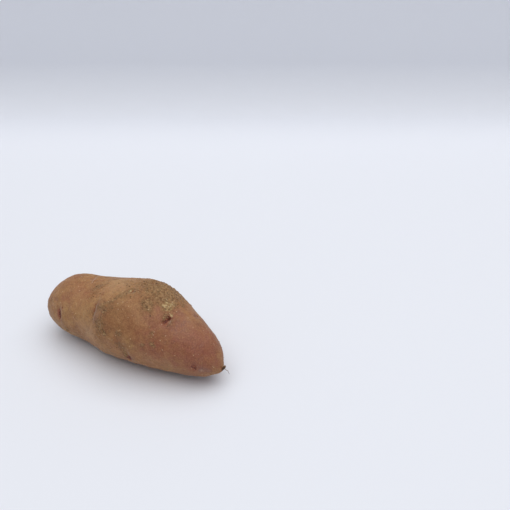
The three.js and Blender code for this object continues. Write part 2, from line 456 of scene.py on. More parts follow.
@dataclass(frozen=True)
class TuberForm:
    """The tuber's shape, worked out from the same sizes as the CAD solid, in millimetres."""

    length: float = 100.0
    width: float = 40.5
    height: float = 38.5
    head_round: float = 16.0
    heel_round: float = 3.0
    rest_sink: float = 0.35
    rest_calm: float = 2.5
    slit_wide: float = 1.0
    bud_round: float = 0.8
    bud_proud: float = 0.45
    brow_away: float = 1.9
    brow_steep: float = 0.9
    brow_softer: float = 0.12
    brow_gentle: float = 0.26
    brow_bow: float = 0.02
    # How far an eye has any relief, as a share of its brow.
    eye_reach: float = 1.5
    lip_away: float = 2.0
    lip_wide: float = 1.6
    # The crack at the bottom of a slit is too narrow for the CAD solid's faces.
    crack_wide: float = 0.45
    girths: tuple[Girth, ...] = (
        Girth(0.0, -3.3, 14.6),
        Girth(0.06, -0.9, 16.0, 0.54),
        Girth(0.16, -0.3, 16.9, 0.76),
        Girth(0.28, 0.5, 17.4, 0.865),
        Girth(0.42, 0.1, 18.6, 0.97),
        Girth(0.56, 0.8, 19.2, 1.0),
        Girth(0.7, 0.3, 17.8, 0.885),
        Girth(0.83, -0.7, 15.5, 0.665),
        Girth(0.93, -1.3, 13.3, 0.455),
        Girth(1.0, -2.1, 9.2),
    )
    broad_swells: tuple[Swell, ...] = (
        Swell(0.6, 66, 12, 1.45),
        Swell(0.3, 200, 9, -0.85),
        Swell(0.5, 150, 14, 0.55),
        Swell(0.72, 150, 11, -0.4),
        Swell(0.85, 120, 9, 0.55),
        Swell(0.12, 70, 11, 1.4),
        Swell(0.45, 10, 13, 0.8),
        Swell(0.8, 350, 10, 0.3),
    )
    seen_eyes: tuple[Eye, ...] = (
        Eye(0.164, 165, 4.6, 0.9, 15, 0.4, red=1.0, grey=0.3, scar_and_highlight=1.0),
        Eye(0.241, 80, 3.2, 0.45, 11, 0.35, red=0.1, grey=0.0, scar_and_highlight=0.3),
        Eye(0.386, 139, 5.0, 0.45, 17, 0.6, red=0.25, grey=0.8, scar_and_highlight=1.0),
        Eye(0.526, 99, 2.4, 0.6, 6, 0.2, red=0.2, grey=0.0, scar_and_highlight=0.7),
        Eye(0.592, 201, 3.6, 0.8, 11, 0.35, red=1.0, grey=0.4, scar_and_highlight=0.6),
        # The deepest eye leans, and lies half a millimetre from the CAD solid's.
        Eye(0.74, 112.5, 5.4, 1.5, 11, 0.45, red=0.85, grey=0.12, scar_and_highlight=0.3, lean=-0.3, crack=0.0),
        Eye(0.908, 174, 3.0, 0.9, 7, 0.3, red=0.4, grey=0.3, scar_and_highlight=0.5, crack=0.2),
    )
    folds: tuple[Fold, ...] = (
        Fold(0.472, 117, 19, -0.31, 0.16, 1.3, 0.14, soil=1.0),
        Fold(0.345, 178, 30, -0.2, 0.4, 3.4, 0.3),
        Fold(0.588, 188, 20, 0.16, 0.22, 1.6, 0.22, soil=0.5),
        Fold(0.62, 330, 45, 0.08, 0.35, 3.0, 0.3, soil=0.3),
        Fold(0.28, 20, 40, -0.06, 0.4, 3.2, 0.25),
    )
    # Unevenness too slight for the CAD solid: the skin's soft cobbles and its corky roughness.
    ripples: tuple[Ripples, ...] = (
        Ripples(7.5, 0.07, 41),
        Ripples(3.2, 0.035, 42),
        Ripples(1.5, 0.014, 43),
    )
    # Pits and bits of tissue in the deepest eye and beside other eyes, too small for the CAD solid.
    knobs: tuple[Swell, ...] = (
        Swell(0.743, 108.5, 0.8, -0.8),
        Swell(0.664, 82.0, 0.6, -0.7),
        Swell(0.733, 116.5, 0.5, 0.45),
        Swell(0.729, 119.5, 0.5, -0.35),
        Swell(0.738, 107.0, 0.6, 0.4),
        Swell(0.745, 113.5, 0.5, 0.5),
        Swell(0.736, 112.0, 0.45, 0.4),
        Swell(0.749, 118.0, 0.6, 0.35),
        Swell(0.752, 109.0, 0.7, 0.5),
        Swell(0.727, 115.0, 0.6, 0.35),
        # A lump of crust, and bits of it that stand out against the sky.
        Swell(0.655, 64.0, 3.5, 0.45),
        Swell(0.628, 66.5, 0.9, 0.3),
        Swell(0.645, 69.0, 0.7, 0.35),
        Swell(0.655, 65.0, 0.8, 0.25),
        Swell(0.672, 67.5, 0.8, 0.3),
        Swell(0.69, 71.0, 0.7, 0.25),
        Swell(0.612, 70.0, 0.8, 0.25),
        # At the small eye on top and in the heel's eye.
        Swell(0.52, 100.5, 0.5, 0.4),
        Swell(0.527, 100.0, 0.4, -0.3),
        Swell(0.912, 171.5, 0.5, 0.35),
        Swell(0.905, 176.5, 0.4, 0.3),
    )
    spiral: Spiral = Spiral()
    lumps: Lumps = Lumps()

    @cached_property
    def eyes(self) -> tuple[Eye, ...]:
        """Returns all the eyes."""
        return self.seen_eyes + self.spiral.eyes()

    @cached_property
    def swells(self) -> tuple[Swell, ...]:
        """Returns all the swellings and hollows."""
        return self.broad_swells + self.lumps.swells() + self.knobs

    @cached_property
    def turns(self) -> tuple[float, ...]:
        """Returns where each girth is, as a turn from 0 at the head tip to pi at the heel tip."""
        return tuple(math.acos(1 - 2 * girth.along) for girth in self.girths)

    def through_girths(self, values: Iterable[float], turn: Array) -> Array:
        """Returns the curve through one value for each girth, read at the turns."""
        return Curve(self.turns, tuple(values)).at(turn)

    def fullness(self, turn: Array) -> Array:
        """Works out how full the body is.

        Args:
            turn: Where, as a turn from 0 at the head tip to pi at the heel tip.

        Returns:
            The half width of the body over the sine of the turn.
        """
        fullnesses = [math.sqrt(self.head_round * self.length / 2)]
        for girth, place in zip(self.girths[1:-1], self.turns[1:-1]):
            fullnesses.append(girth.wide * self.width / 2 / math.sin(place))
        fullnesses.append(math.sqrt(self.heel_round * self.length / 2))
        return self.through_girths(fullnesses, turn)

    def half_width(self, along: float) -> float:
        """Returns the half width of the body at a share of its length."""
        turn = np.arccos(1 - 2 * np.asarray(along))
        return float(self.fullness(turn) * np.sin(turn))

    @staticmethod
    def ball(along: Array | float, around: Array | float) -> Array:
        """Finds places on the unit ball, whose poles are on X.

        Args:
            along: Shares of the length.
            around: Degrees about the long axis.

        Returns:
            The points of the ball.
        """
        turn = np.arccos(1 - 2 * np.asarray(along, float))
        angle = np.radians(around)
        ring = np.sin(turn)
        return np.stack(np.broadcast_arrays(-np.cos(turn), ring * np.cos(angle), ring * np.sin(angle)), -1)

    def body(self, ball: Array) -> Array:
        """Stretches the ball to the smooth body.

        Args:
            ball: Points of the unit ball.

        Returns:
            The points of the body.
        """
        turn = np.arccos(np.clip(-ball[..., 0], -1, 1))
        full = self.fullness(turn)
        side = self.through_girths((girth.side for girth in self.girths), turn)
        high = self.through_girths((girth.high for girth in self.girths), turn)
        x = self.length / 2 * ball[..., 0]
        y = side + full * ball[..., 1]
        z = high - self.rest_sink + full * self.height / self.width * ball[..., 2]
        return np.stack([x, y, z], -1)

    def outwards(self, ball: Array) -> Array:
        """Returns the directions out of the body for points of the ball."""
        return unit(ball * np.array([self.width / self.length, 1, self.width / self.height]))

    def calm(self, body: Array) -> Array:
        """Returns how much relief points of the body keep, from 0 where the tuber rests to 1."""
        return np.clip(body[..., 2] / self.rest_calm, 0, 1)

    def spot(self, along: float, around: float) -> Spot:
        """Finds a place on the smooth body.

        Args:
            along: Its share of the length.
            around: Its degrees about the long axis.

        Returns:
            The place, with its own axes.
        """
        # A step towards the heel, as a share of the length, and one round the tuber, in degrees.
        step, turn = 0.01, 1.0
        centre = self.body(self.ball(along, around))
        heelward = unit(self.body(self.ball(along + step, around)) - centre)
        across = unit(self.body(self.ball(along, around + turn)) - centre)
        return Spot(centre, heelward, across)

    def eye_axes(self, eye: Eye, body: Array) -> tuple[Array, Array, Array]:
        """Measures points from an eye.

        Args:
            eye: The eye.
            body: Points of the smooth body.

        Returns:
            The distances towards the heel, with the brow's bow taken out, across the tuber, and
            straight from the eye.
        """
        spot = self.spot(eye.along, eye.around)
        away = body - spot.centre
        across = away @ spot.across
        lengthwise = away @ spot.heelward - eye.lean * across + self.brow_bow * across**2
        return lengthwise, across, np.linalg.norm(away, axis=-1)

    def brow_shape(self, eye: Eye, lengthwise: Array, across: Array) -> Array:
        """Works out an eye's brow: steep towards the slit, and gentle towards the heel.

        Args:
            eye: The eye.
            lengthwise: Distances from the eye towards the heel.
            across: Distances across the tuber.

        Returns:
            How much of the brow is at each place, from 0 to 1.
        """
        past = lengthwise - self.brow_away
        steep = self.brow_steep + self.brow_softer * np.abs(across)
        wide = np.where(past < 0, steep, self.brow_gentle * eye.brow)
        return hump(past, wide) * hump(across, eye.brow / 2)

    def eye_relief(self, eye: Eye, body: Array) -> Array:
        """Works out an eye's slit, crack, bud and brow.

        Args:
            eye: The eye.
            body: Points of the smooth body.

        Returns:
            The relief at each point, in millimetres out of the body.
        """
        lengthwise, across, away = self.eye_axes(eye, body)
        slit = hump(lengthwise, self.slit_wide) * hump(across, eye.slit / 2)
        crack = hump(lengthwise, self.crack_wide) * hump(across, eye.slit / 2)
        bud = hump(away, self.bud_round)
        brow = self.brow_shape(eye, lengthwise, across)
        pit = slit + eye.crack * crack - self.bud_proud * bud
        return np.where(away < self.eye_reach * eye.brow, eye.proud * brow - eye.deep * pit, 0)

    def past_fold(self, fold: Fold, ball: Array) -> tuple[Array, Array]:
        """Measures points from a fold.

        Args:
            fold: The fold.
            ball: Points of the unit ball.

        Returns:
            The distances from the crease towards the heel in millimetres, and round the tuber from
            the middle of the fold in degrees.
        """
        off = off_round(ball, fold.around)
        along = (1 + ball[..., 0]) / 2
        return (along - fold.along - fold.lean * off / 90) * self.length, off

    def fold_relief(self, fold: Fold, ball: Array) -> Array:
        """Works out a fold's crease and lip.

        Args:
            fold: The fold.
            ball: Points of the unit ball.

        Returns:
            The relief at each point, in millimetres out of the body.
        """
        past, off = self.past_fold(fold, ball)
        lip = fold.lip * hump(past - self.lip_away * fold.wide, self.lip_wide * fold.wide)
        return hump(off, fold.span) * (lip - fold.deep * hump(past, fold.wide))

    def skin(self, ball: Array) -> Array:
        """Works out the skin, flat where the tuber rests.

        Args:
            ball: Points of the unit ball.

        Returns:
            The points of the skin.
        """
        body = self.body(ball)
        relief = np.zeros(ball.shape[:-1])
        for eye in self.eyes:
            relief += self.eye_relief(eye, body)
        for fold in self.folds:
            relief += self.fold_relief(fold, ball)
        for swell in self.swells:
            centre = self.spot(swell.along, swell.around).centre
            relief += swell.rise * hump(np.linalg.norm(body - centre, axis=-1), swell.reach)
        for ripples in self.ripples:
            relief += ripples.at(body)
        points = body + self.outwards(ball) * (relief * self.calm(body))[..., None]
        points[..., 2] = np.maximum(points[..., 2], 0)
        return points

    def on_skin(self, along: Array, around: Array) -> tuple[Array, Array, Array]:
        """Places things on the skin.

        Args:
            along: Shares of the length.
            around: Degrees about the long axis.

        Returns:
            The points of the skin, and there the directions towards the heel and out of the skin.
        """
        # A step towards the heel, as a share of the length, and one round the tuber, in degrees.
        step, turn = 0.003, 0.54
        points = self.skin(self.ball(along, around))
        heelward = unit(self.skin(self.ball(along + step, around)) - points)
        across = unit(self.skin(self.ball(along, around + turn)) - points)
        return points, heelward, unit(np.cross(across, heelward))


# Stains, placed as in the photo on the near side and by the same habit on the far side


# Some tints are partly painted light: the pale patches and the pale lines on the lips of eyes.
class Tint(Enum):
    """What a place on the skin shows besides its own colour."""

    # Pale dry cork, with painted highlights and painted bounce light.
    PALE_AND_PAINTED_LIGHT = "pale"
    OCHRE = "ochre"
    BLUSH = "blush"
    VIOLET = "violet"
    SOIL = "soil"
    CREAM = "cream"
    # Pale lines on lips: partly scars, partly painted highlight.
    SCAR_AND_HIGHLIGHT = "scar_and_highlight"
    RED = "red"


@dataclass(frozen=True)
class Patch:
    """A stained place or a place of painted light, fading over `long` along the tuber and `wide` across it,
    in millimetres.
    """

    along: float
    around: float
    long: float
    wide: float
    strength: float = 1.0


PATCHES: dict[Tint, tuple[Patch, ...]] = {
    # Where the cork is dry and scuffed it is pale. Some are painted light: a paler middle of the top,
    # painted highlights along the top of the heel, and painted floor light along the low edge.
    Tint.PALE_AND_PAINTED_LIGHT: (
        Patch(0.464, 90, 9, 7, 0.8), Patch(0.42, 103, 7, 5, 0.5), Patch(0.79, 92, 4, 8, 0.75),
        Patch(0.85, 98, 5, 4, 0.7), Patch(0.83, 107, 4, 4, 0.5), Patch(0.92, 96, 3, 3.5, 0.9),
        Patch(0.37, 172, 8, 7, 0.7), Patch(0.75, 188, 12, 4, 0.6), Patch(0.95, 190, 4, 4, 0.6),
        Patch(0.7, 350, 14, 9, 0.7), Patch(0.62, 129, 7, 4, 0.55), Patch(0.23, 130, 11, 10, 0.7),
        Patch(0.2, 320, 10, 9, 0.6),
    ),
    # Where the skin is thick and dull it is ochre.
    Tint.OCHRE: (
        Patch(0.54, 141, 11, 12, 0.95), Patch(0.47, 137, 4, 4, 0.5), Patch(0.24, 118, 11, 9, 0.35),
        Patch(0.57, 181, 2, 5, 0.6), Patch(0.634, 109, 3.4, 3.4, 1.6), Patch(0.905, 135, 6, 7, 0.8),
        Patch(0.83, 124, 4, 5, 0.7), Patch(0.88, 117, 3, 4, 0.4), Patch(0.445, 150, 3, 8, 0.6),
        Patch(0.45, 300, 18, 16, 0.6), Patch(0.3, 20, 12, 12, 0.6), Patch(0.685, 78, 5, 6, 0.9),
    ),
    # Red pigment shows through the young skin round the eyes and towards the heel.
    Tint.BLUSH: (
        Patch(0.776, 107, 6, 6, 0.7), Patch(0.7, 120, 5, 6, 0.6), Patch(0.86, 118, 14, 16, 0.55),
        Patch(0.93, 112, 7, 8, 0.8), Patch(0.93, 160, 9, 10, 0.75), Patch(0.89, 130, 6, 8, 0.7),
        Patch(0.73, 160, 13, 12, 0.7), Patch(0.19, 135, 4, 4, 0.6), Patch(0.153, 165, 1.4, 2.6, 0.9),
        Patch(0.16, 100, 9, 9, 0.35), Patch(0.3, 112, 6, 6, 0.3), Patch(0.9, 10, 10, 14, 0.7),
        Patch(0.88, 280, 10, 12, 0.6), Patch(0.52, 30, 8, 8, 0.4),
    ),
    # Violet-grey skin, on the scars of scale leaves.
    Tint.VIOLET: (
        Patch(0.555, 177, 2.5, 3.5, 0.5), Patch(0.945, 183, 2, 3, 0.7), Patch(0.79, 104, 4, 5, 0.5),
        Patch(0.905, 123, 4, 4, 0.3),
    ),
    # Dried soil.
    Tint.SOIL: (
        Patch(0.49, 89, 8, 5, 0.35), Patch(0.56, 80, 8, 6, 0.5), Patch(0.605, 77, 7, 7, 0.75),
        Patch(0.665, 77, 6, 7, 1.1), Patch(0.7, 84, 5, 6, 1.0), Patch(0.664, 82, 1.1, 1.1, 1.0),
        Patch(0.634, 109, 2.2, 2.2, 2.5), Patch(0.625, 118, 2, 3, 0.5), Patch(0.53, 99, 2, 1.4, 1.0),
        Patch(0.563, 98.3, 1.7, 0.5, 1.2), Patch(0.51, 106, 2.5, 2.5, 0.85), Patch(0.445, 131, 4, 4, 0.8),
        Patch(0.445, 158, 3, 6, 1.0), Patch(0.388, 130, 1.2, 2.5, 0.8), Patch(0.388, 146, 1.2, 3, 0.9),
        Patch(0.33, 104, 4, 5, 0.85), Patch(0.55, 177, 3, 3, 0.6), Patch(0.578, 193, 0.9, 4, 1.0),
        Patch(0.482, 166, 1.5, 1.5, 1.0), Patch(0.675, 165, 1.4, 1.4, 1.0), Patch(0.715, 160, 1.4, 1.4, 1.0),
        Patch(0.553, 161, 1.8, 1.8, 0.9), Patch(0.7, 142, 2, 3, 0.6), Patch(0.729, 110, 1.2, 2, 1.3),
        Patch(0.757, 115, 0.8, 2.4, 0.9), Patch(0.2, 195, 2, 2, 0.9), Patch(0.64, 40, 9, 9, 0.8),
        Patch(0.4, 350, 8, 8, 0.6), Patch(0.62, 290, 10, 8, 0.7), Patch(0.25, 260, 8, 8, 0.5),
    ),
    # Pale silt, dried to flakes.
    Tint.CREAM: (
        Patch(0.7, 94.5, 1.9, 2.8, 0.95), Patch(0.687, 99.5, 1.1, 1.1, 0.7),
        Patch(0.718, 86, 1.3, 2.2, 0.75), Patch(0.717, 95.5, 1.3, 1.7, 0.8),
        Patch(0.744, 102.5, 0.7, 0.9, 1.4), Patch(0.519, 100.5, 0.9, 0.9, 1.3),
        Patch(0.482, 167, 0.7, 0.8, 0.6), Patch(0.705, 141, 1.0, 1.2, 0.4),
        Patch(0.62, 72, 2, 2.5, 0.4), Patch(0.6, 330, 2, 3, 0.8),
    ),
    # Cracks and flecks, red-brown at the bottom.
    Tint.RED: (
        Patch(0.563, 98.3, 1.7, 0.35, 0.4), Patch(0.528, 100, 0.4, 0.9, 0.6),
        Patch(0.386, 134, 1.1, 3.8, 0.5), Patch(0.157, 164, 1.3, 2.4, 0.8),
        Patch(0.743, 107.5, 0.8, 0.9, 0.9), Patch(0.737, 117, 0.6, 1.5, 0.95),
        Patch(0.899, 175.5, 0.45, 0.9, 1.0), Patch(0.909, 179, 0.7, 0.5, 1.0),
        Patch(0.915, 176.5, 0.4, 1.3, 0.95), Patch(0.179, 176, 0.4, 0.5, 0.9),
        Patch(0.183, 150, 0.5, 0.5, 0.7), Patch(0.6, 203, 1.5, 2.2, 0.75),
        Patch(0.582, 202, 0.5, 0.6, 1.0),
    ),
    # Pale lines on the lips of eyes and creases: partly fine scars where the skin has stretched, and
    # partly painted highlight where a lip catches the light.
    Tint.SCAR_AND_HIGHLIGHT: (
        Patch(0.266, 87, 0.4, 3.4, 0.9), Patch(0.6, 192, 0.4, 3.0, 0.8), Patch(0.757, 114, 0.5, 1.2, 0.6),
        Patch(0.939, 184, 0.8, 1.5, 0.6),
    ),
}


@dataclass(frozen=True)
class SkinMarks:
    """Works out how strong each tint is at each place of the skin. Lengths are in millimetres.

    Args:
        form: The tuber's shape.
        patches: The stained places and the places of painted light.
        seat_long: Reach of the red along the tuber at a slit.
        seat_wide: Reach of the red across it, as a share of the slit.
        brow_narrow: How much narrower the grey of a brow is than the brow.
        scar_highlight_away: From the middle of a slit to its pale line: part scars, part painted highlight.
        scar_highlight_long: Reach of the pale line along the tuber.
        scar_highlight_wide: Reach of the pale line across it, as a share of the brow.
        blush_long: Reach of the blush along the tuber round a slit.
        blush_wide: Reach of the blush across it, as a share of the slit.
        blush_share: How strong that blush is, beside the red.
        dust_wide: Reach of the dust in a fold, as a share of the fold.
        dust_stray: How much the dust strays, as a share of the stray of a patch.
        stray: How far the edge of a patch strays along and across the tuber.
        stray_full: How large a patch has to be to stray in full.
        crust: The unevenness of the dried soil.
    """

    form: TuberForm
    patches: dict[Tint, tuple[Patch, ...]]
    seat_long: float = 0.6
    seat_wide: float = 0.45
    brow_narrow: float = 1.4
    scar_highlight_away: float = 1.35
    scar_highlight_long: float = 0.38
    scar_highlight_wide: float = 0.36
    blush_long: float = 1.7
    blush_wide: float = 0.6
    blush_share: float = 0.75
    dust_wide: float = 0.9
    dust_stray: float = 0.6
    stray: tuple[Ripples, Ripples] = (Ripples(5.5, 0.9, 51), Ripples(5.5, 0.9, 52))
    stray_full: float = 4.0
    crust: Ripples = Ripples(1.9, 0.16, 53)

    def patch_share(self, patch: Patch, ball: Array, strays: list[Array]) -> Array:
        """Works out one patch.

        Args:
            patch: The patch.
            ball: Points of the unit ball.
            strays: How far its edge strays there, along and across the tuber.

        Returns:
            How strong it is at each point, from 0 to 1.
        """
        small = min(patch.long, patch.wide, self.stray_full) / self.stray_full
        lengthwise = ((1 + ball[..., 0]) / 2 - patch.along) * self.form.length + small * strays[0]
        across = np.radians(off_round(ball, patch.around)) * self.form.half_width(patch.along)
        spread = hump(lengthwise, patch.long) * hump(across + small * strays[1], patch.wide)
        return np.clip(patch.strength * spread, 0, 1)

    def eye_shares(self, eye: Eye, body: Array) -> dict[Tint, Array]:
        """Works out the red, violet-grey, pale and blush marks of an eye; the pale line is partly painted
        highlight.

        Args:
            eye: The eye.
            body: Points of the smooth body.

        Returns:
            How strong each of its tints is at each point, from 0 to 1.
        """
        lengthwise, across, away = self.form.eye_axes(eye, body)
        near = away < self.form.eye_reach * eye.brow
        seat = hump(lengthwise, self.seat_long) * hump(across, self.seat_wide * eye.slit)
        brow = self.form.brow_shape(eye, lengthwise, self.brow_narrow * across)
        # A pale line past the slit, on the lip: partly scars, partly painted highlight.
        past = lengthwise - self.scar_highlight_away
        scar_and_highlight = hump(past, self.scar_highlight_long) * hump(across, self.scar_highlight_wide * eye.brow)
        blush = hump(lengthwise, self.blush_long) * hump(across, self.blush_wide * eye.slit)
        return {
            Tint.RED: near * eye.red * seat,
            Tint.VIOLET: near * eye.grey * brow,
            Tint.SCAR_AND_HIGHLIGHT: near * eye.scar_and_highlight * scar_and_highlight,
            Tint.BLUSH: self.blush_share * near * eye.red * blush,
        }

    def at(self, ball: Array) -> dict[Tint, Array]:
        """Works out the tints.

        Args:
            ball: Points of the unit ball.

        Returns:
            How strong each tint is at each point, from 0 to 1.
        """
        bare = {tint: np.ones(ball.shape[:-1]) for tint in Tint}
        body = self.form.body(ball)
        strays = [ripples.at(body) for ripples in self.stray]
        for tint, patches in self.patches.items():
            for patch in patches:
                bare[tint] *= 1 - self.patch_share(patch, ball, strays)
        for eye in self.form.eyes:
            for tint, share in self.eye_shares(eye, body).items():
                bare[tint] *= 1 - share
        for fold in self.form.folds:
            past, off = self.form.past_fold(fold, ball)
            dust = hump(past + self.dust_stray * strays[0], self.dust_wide * fold.wide)
            bare[Tint.SOIL] *= 1 - fold.soil * dust * hump(off, self.dust_wide * fold.span)
        return {tint: 1 - share for tint, share in bare.items()}

    def crust_relief(self, ball: Array, shares: dict[Tint, Array]) -> Array:
        """Works out how far the dried soil stands out of the skin.

        Args:
            ball: Points of the unit ball.
            shares: How strong each tint is at each point.

        Returns:
            One height in millimetres for each point, nothing where the tuber rests.
        """
        body = self.form.body(ball)
        covered = np.maximum(shares[Tint.SOIL], shares[Tint.CREAM])
        return self.form.calm(body) * covered * (self.crust.rise + self.crust.at(body))


# Finishes


@dataclass(frozen=True)
class Coat:
    """What the skin's shader shows so far, as one layer is laid over the other.

    Args:
        tree: The material's node tree.
        place: The object coordinates.
        colour: The colour.
        height: The height, in millimetres.
        rough: The roughness.
    """

    tree: Tree
    place: Socket
    colour: Socket
    height: Socket | float
    rough: Socket | float

    def added(self, share: Socket, amount: float, below: Socket | float) -> Socket | float:
        """Adds an amount to a value where a layer shows.

        Args:
            share: How much of the layer shows, from 0 to 1.
            amount: What the layer adds.
            below: The value below it.

        Returns:
            The value with the layer.
        """
        if not amount:
            return below
        step = {"operation": "MULTIPLY_ADD"}
        return add_node(self.tree, "Math", step, {0: share, 1: amount, 2: below}).outputs["Value"]

    def covered(
        self, share: Socket, colour: str, strength: float, proud: float = 0.0, dull: float = 0.0
    ) -> "Coat":
        """Lays a layer over the coat.

        Args:
            share: How much of the layer shows, from 0 to 1.
            colour: Its colour, as sRGB hex.
            strength: How much of the colour below it hides, from 0 to 1.
            proud: How far it stands out, in millimetres.
            dull: What it adds to the roughness.

        Returns:
            The coat with the layer.
        """
        hidden = add_node(self.tree, "Math", {"operation": "MULTIPLY"}, {0: share, 1: strength})
        tones = {MIX_FACTOR: hidden.outputs["Value"], MIX_BELOW: self.colour, MIX_ABOVE: linear(colour)}
        mixed = add_node(self.tree, "Mix", {"data_type": "RGBA"}, tones).outputs[MIXED]
        height = self.added(share, proud, self.height)
        rough = self.added(share, dull, self.rough)
        return replace(self, colour=mixed, height=height, rough=rough)


@dataclass(frozen=True)
class Mottle:
    """One size of the cork's mottling.

    Args:
        size: How large a mottle is, in millimetres.
        dark: Colour of its darker places, as sRGB hex.
        pale: Colour of its paler places.
        strength: How much of the colour below they hide, from 0 to 1.
        deep: How far its pale places stand above its dark ones, in millimetres.
        full: How far the pattern is from its middle where a tone shows in full.
    """

    size: float
    dark: str
    pale: str
    strength: float
    deep: float
    full: float = 0.25

    def lay(self, coat: Coat) -> Coat:
        """Lays the mottles over a coat.

        Args:
            coat: What is below.

        Returns:
            The coat with them.
        """
        scale = {"Vector": coat.place, "Scale": per_metre(self.size), "Detail": 2.0}
        noise = add_node(coat.tree, "TexNoise", inputs=scale).outputs["Fac"]
        coat = replace(coat, height=coat.added(noise, self.deep, coat.height))
        for tone, full in ((self.dark, 0.5 - self.full), (self.pale, 0.5 + self.full)):
            steps = {"Value": noise, "From Min": 0.5, "From Max": full}
            share = add_node(coat.tree, "MapRange", inputs=steps).outputs["Result"]
            coat = coat.covered(share, tone, self.strength)
        return coat


@dataclass(frozen=True)
class StainAndPaintedLight:
    """How one tint looks where it lies on the skin, with an edge broken up by specks.

    Args:
        tint: Which tint.
        colour: Its colour, as sRGB hex.
        grain: Size of the specks that it breaks into, in millimetres.
        ragged: How much it breaks up, from 0 for a smooth edge to 2 for loose specks.
        strength: How much of the colour below it hides, from 0 to 1.
        level: How strong the tint is where half of it shows.
        soft: How softly its specks end.
        dull: What it adds to the roughness.
        proud: How far it stands out of the skin, in millimetres.
        drawn_out: How much longer its specks are across the tuber than along it.
    """

    tint: Tint
    colour: str
    grain: float
    ragged: float
    strength: float
    level: float = 0.5
    soft: float = 0.3
    dull: float = 0.0
    proud: float = 0.0
    drawn_out: float = 1.0

    def lay(self, coat: Coat) -> Coat:
        """Lays the stain over a coat.

        Args:
            coat: What is below.

        Returns:
            The coat with the stain.
        """
        mask = add_node(coat.tree, "Attribute", {"attribute_name": self.tint.value}).outputs["Fac"]
        across = 1 / self.drawn_out
        stretch = {"Vector": coat.place, "Scale": (1.0, across, across)}
        drawn = add_node(coat.tree, "Mapping", inputs=stretch).outputs["Vector"]
        scale = {"Vector": drawn, "Scale": per_metre(self.grain), "Detail": 3.0}
        noise = add_node(coat.tree, "TexNoise", inputs=scale).outputs["Fac"]
        ragged = coat.added(noise, self.ragged, mask)
        middle = self.level + 0.5 * self.ragged
        steps = {"Value": ragged, "From Min": middle - self.soft, "From Max": middle + self.soft}
        share = add_node(coat.tree, "MapRange", {"interpolation_type": "SMOOTHSTEP"}, steps)
        return coat.covered(share.outputs["Result"], self.colour, self.strength, self.proud, self.dull)


@dataclass(frozen=True)
class Specks:
    """Small round marks scattered over the skin.

    Args:
        colour: Their colour, as sRGB hex.
        spacing: From one to the next, in millimetres.
        radius: Their size, in millimetres.
        share: How many of the places have one, from 0 to 1.
        strength: How much of the colour below one hides, from 0 to 1.
        proud: How far one stands out of the skin, in millimetres.
        seed: The draw, as a shift of the pattern in metres.
        edge: Where one ends and where it shows in full, as shares of its radius.
    """

    colour: str
    spacing: float
    radius: float
    share: float
    strength: float
    proud: float
    seed: float
    edge: tuple[float, float] = (1.3, 0.5)

    def lay(self, coat: Coat) -> Coat:
        """Lays the specks over a coat.

        Args:
            coat: What is below.

        Returns:
            The coat with them.
        """
        tree = coat.tree
        shift = {0: coat.place, 1: (self.seed,) * 3}
        moved = add_node(tree, "VectorMath", {"operation": "ADD"}, shift).outputs["Vector"]
        cells = add_node(tree, "TexVoronoi", inputs={"Vector": moved, "Scale": per_metre(self.spacing)})
        ends, starts = (edge * self.radius / self.spacing for edge in self.edge)
        steps = {"Value": cells.outputs["Distance"], "From Min": ends, "From Max": starts}
        inside = add_node(tree, "MapRange", {"interpolation_type": "SMOOTHSTEP"}, steps)
        draw = add_node(tree, "SeparateColor", inputs={"Color": cells.outputs["Color"]})
        test = {0: draw.outputs["Red"], 1: self.share}
        chosen = add_node(tree, "Math", {"operation": "LESS_THAN"}, test)
        both = {0: inside.outputs["Result"], 1: chosen.outputs["Value"]}
        shown = add_node(tree, "Math", {"operation": "MULTIPLY"}, both)
        return coat.covered(shown.outputs["Value"], self.colour, self.strength, self.proud)


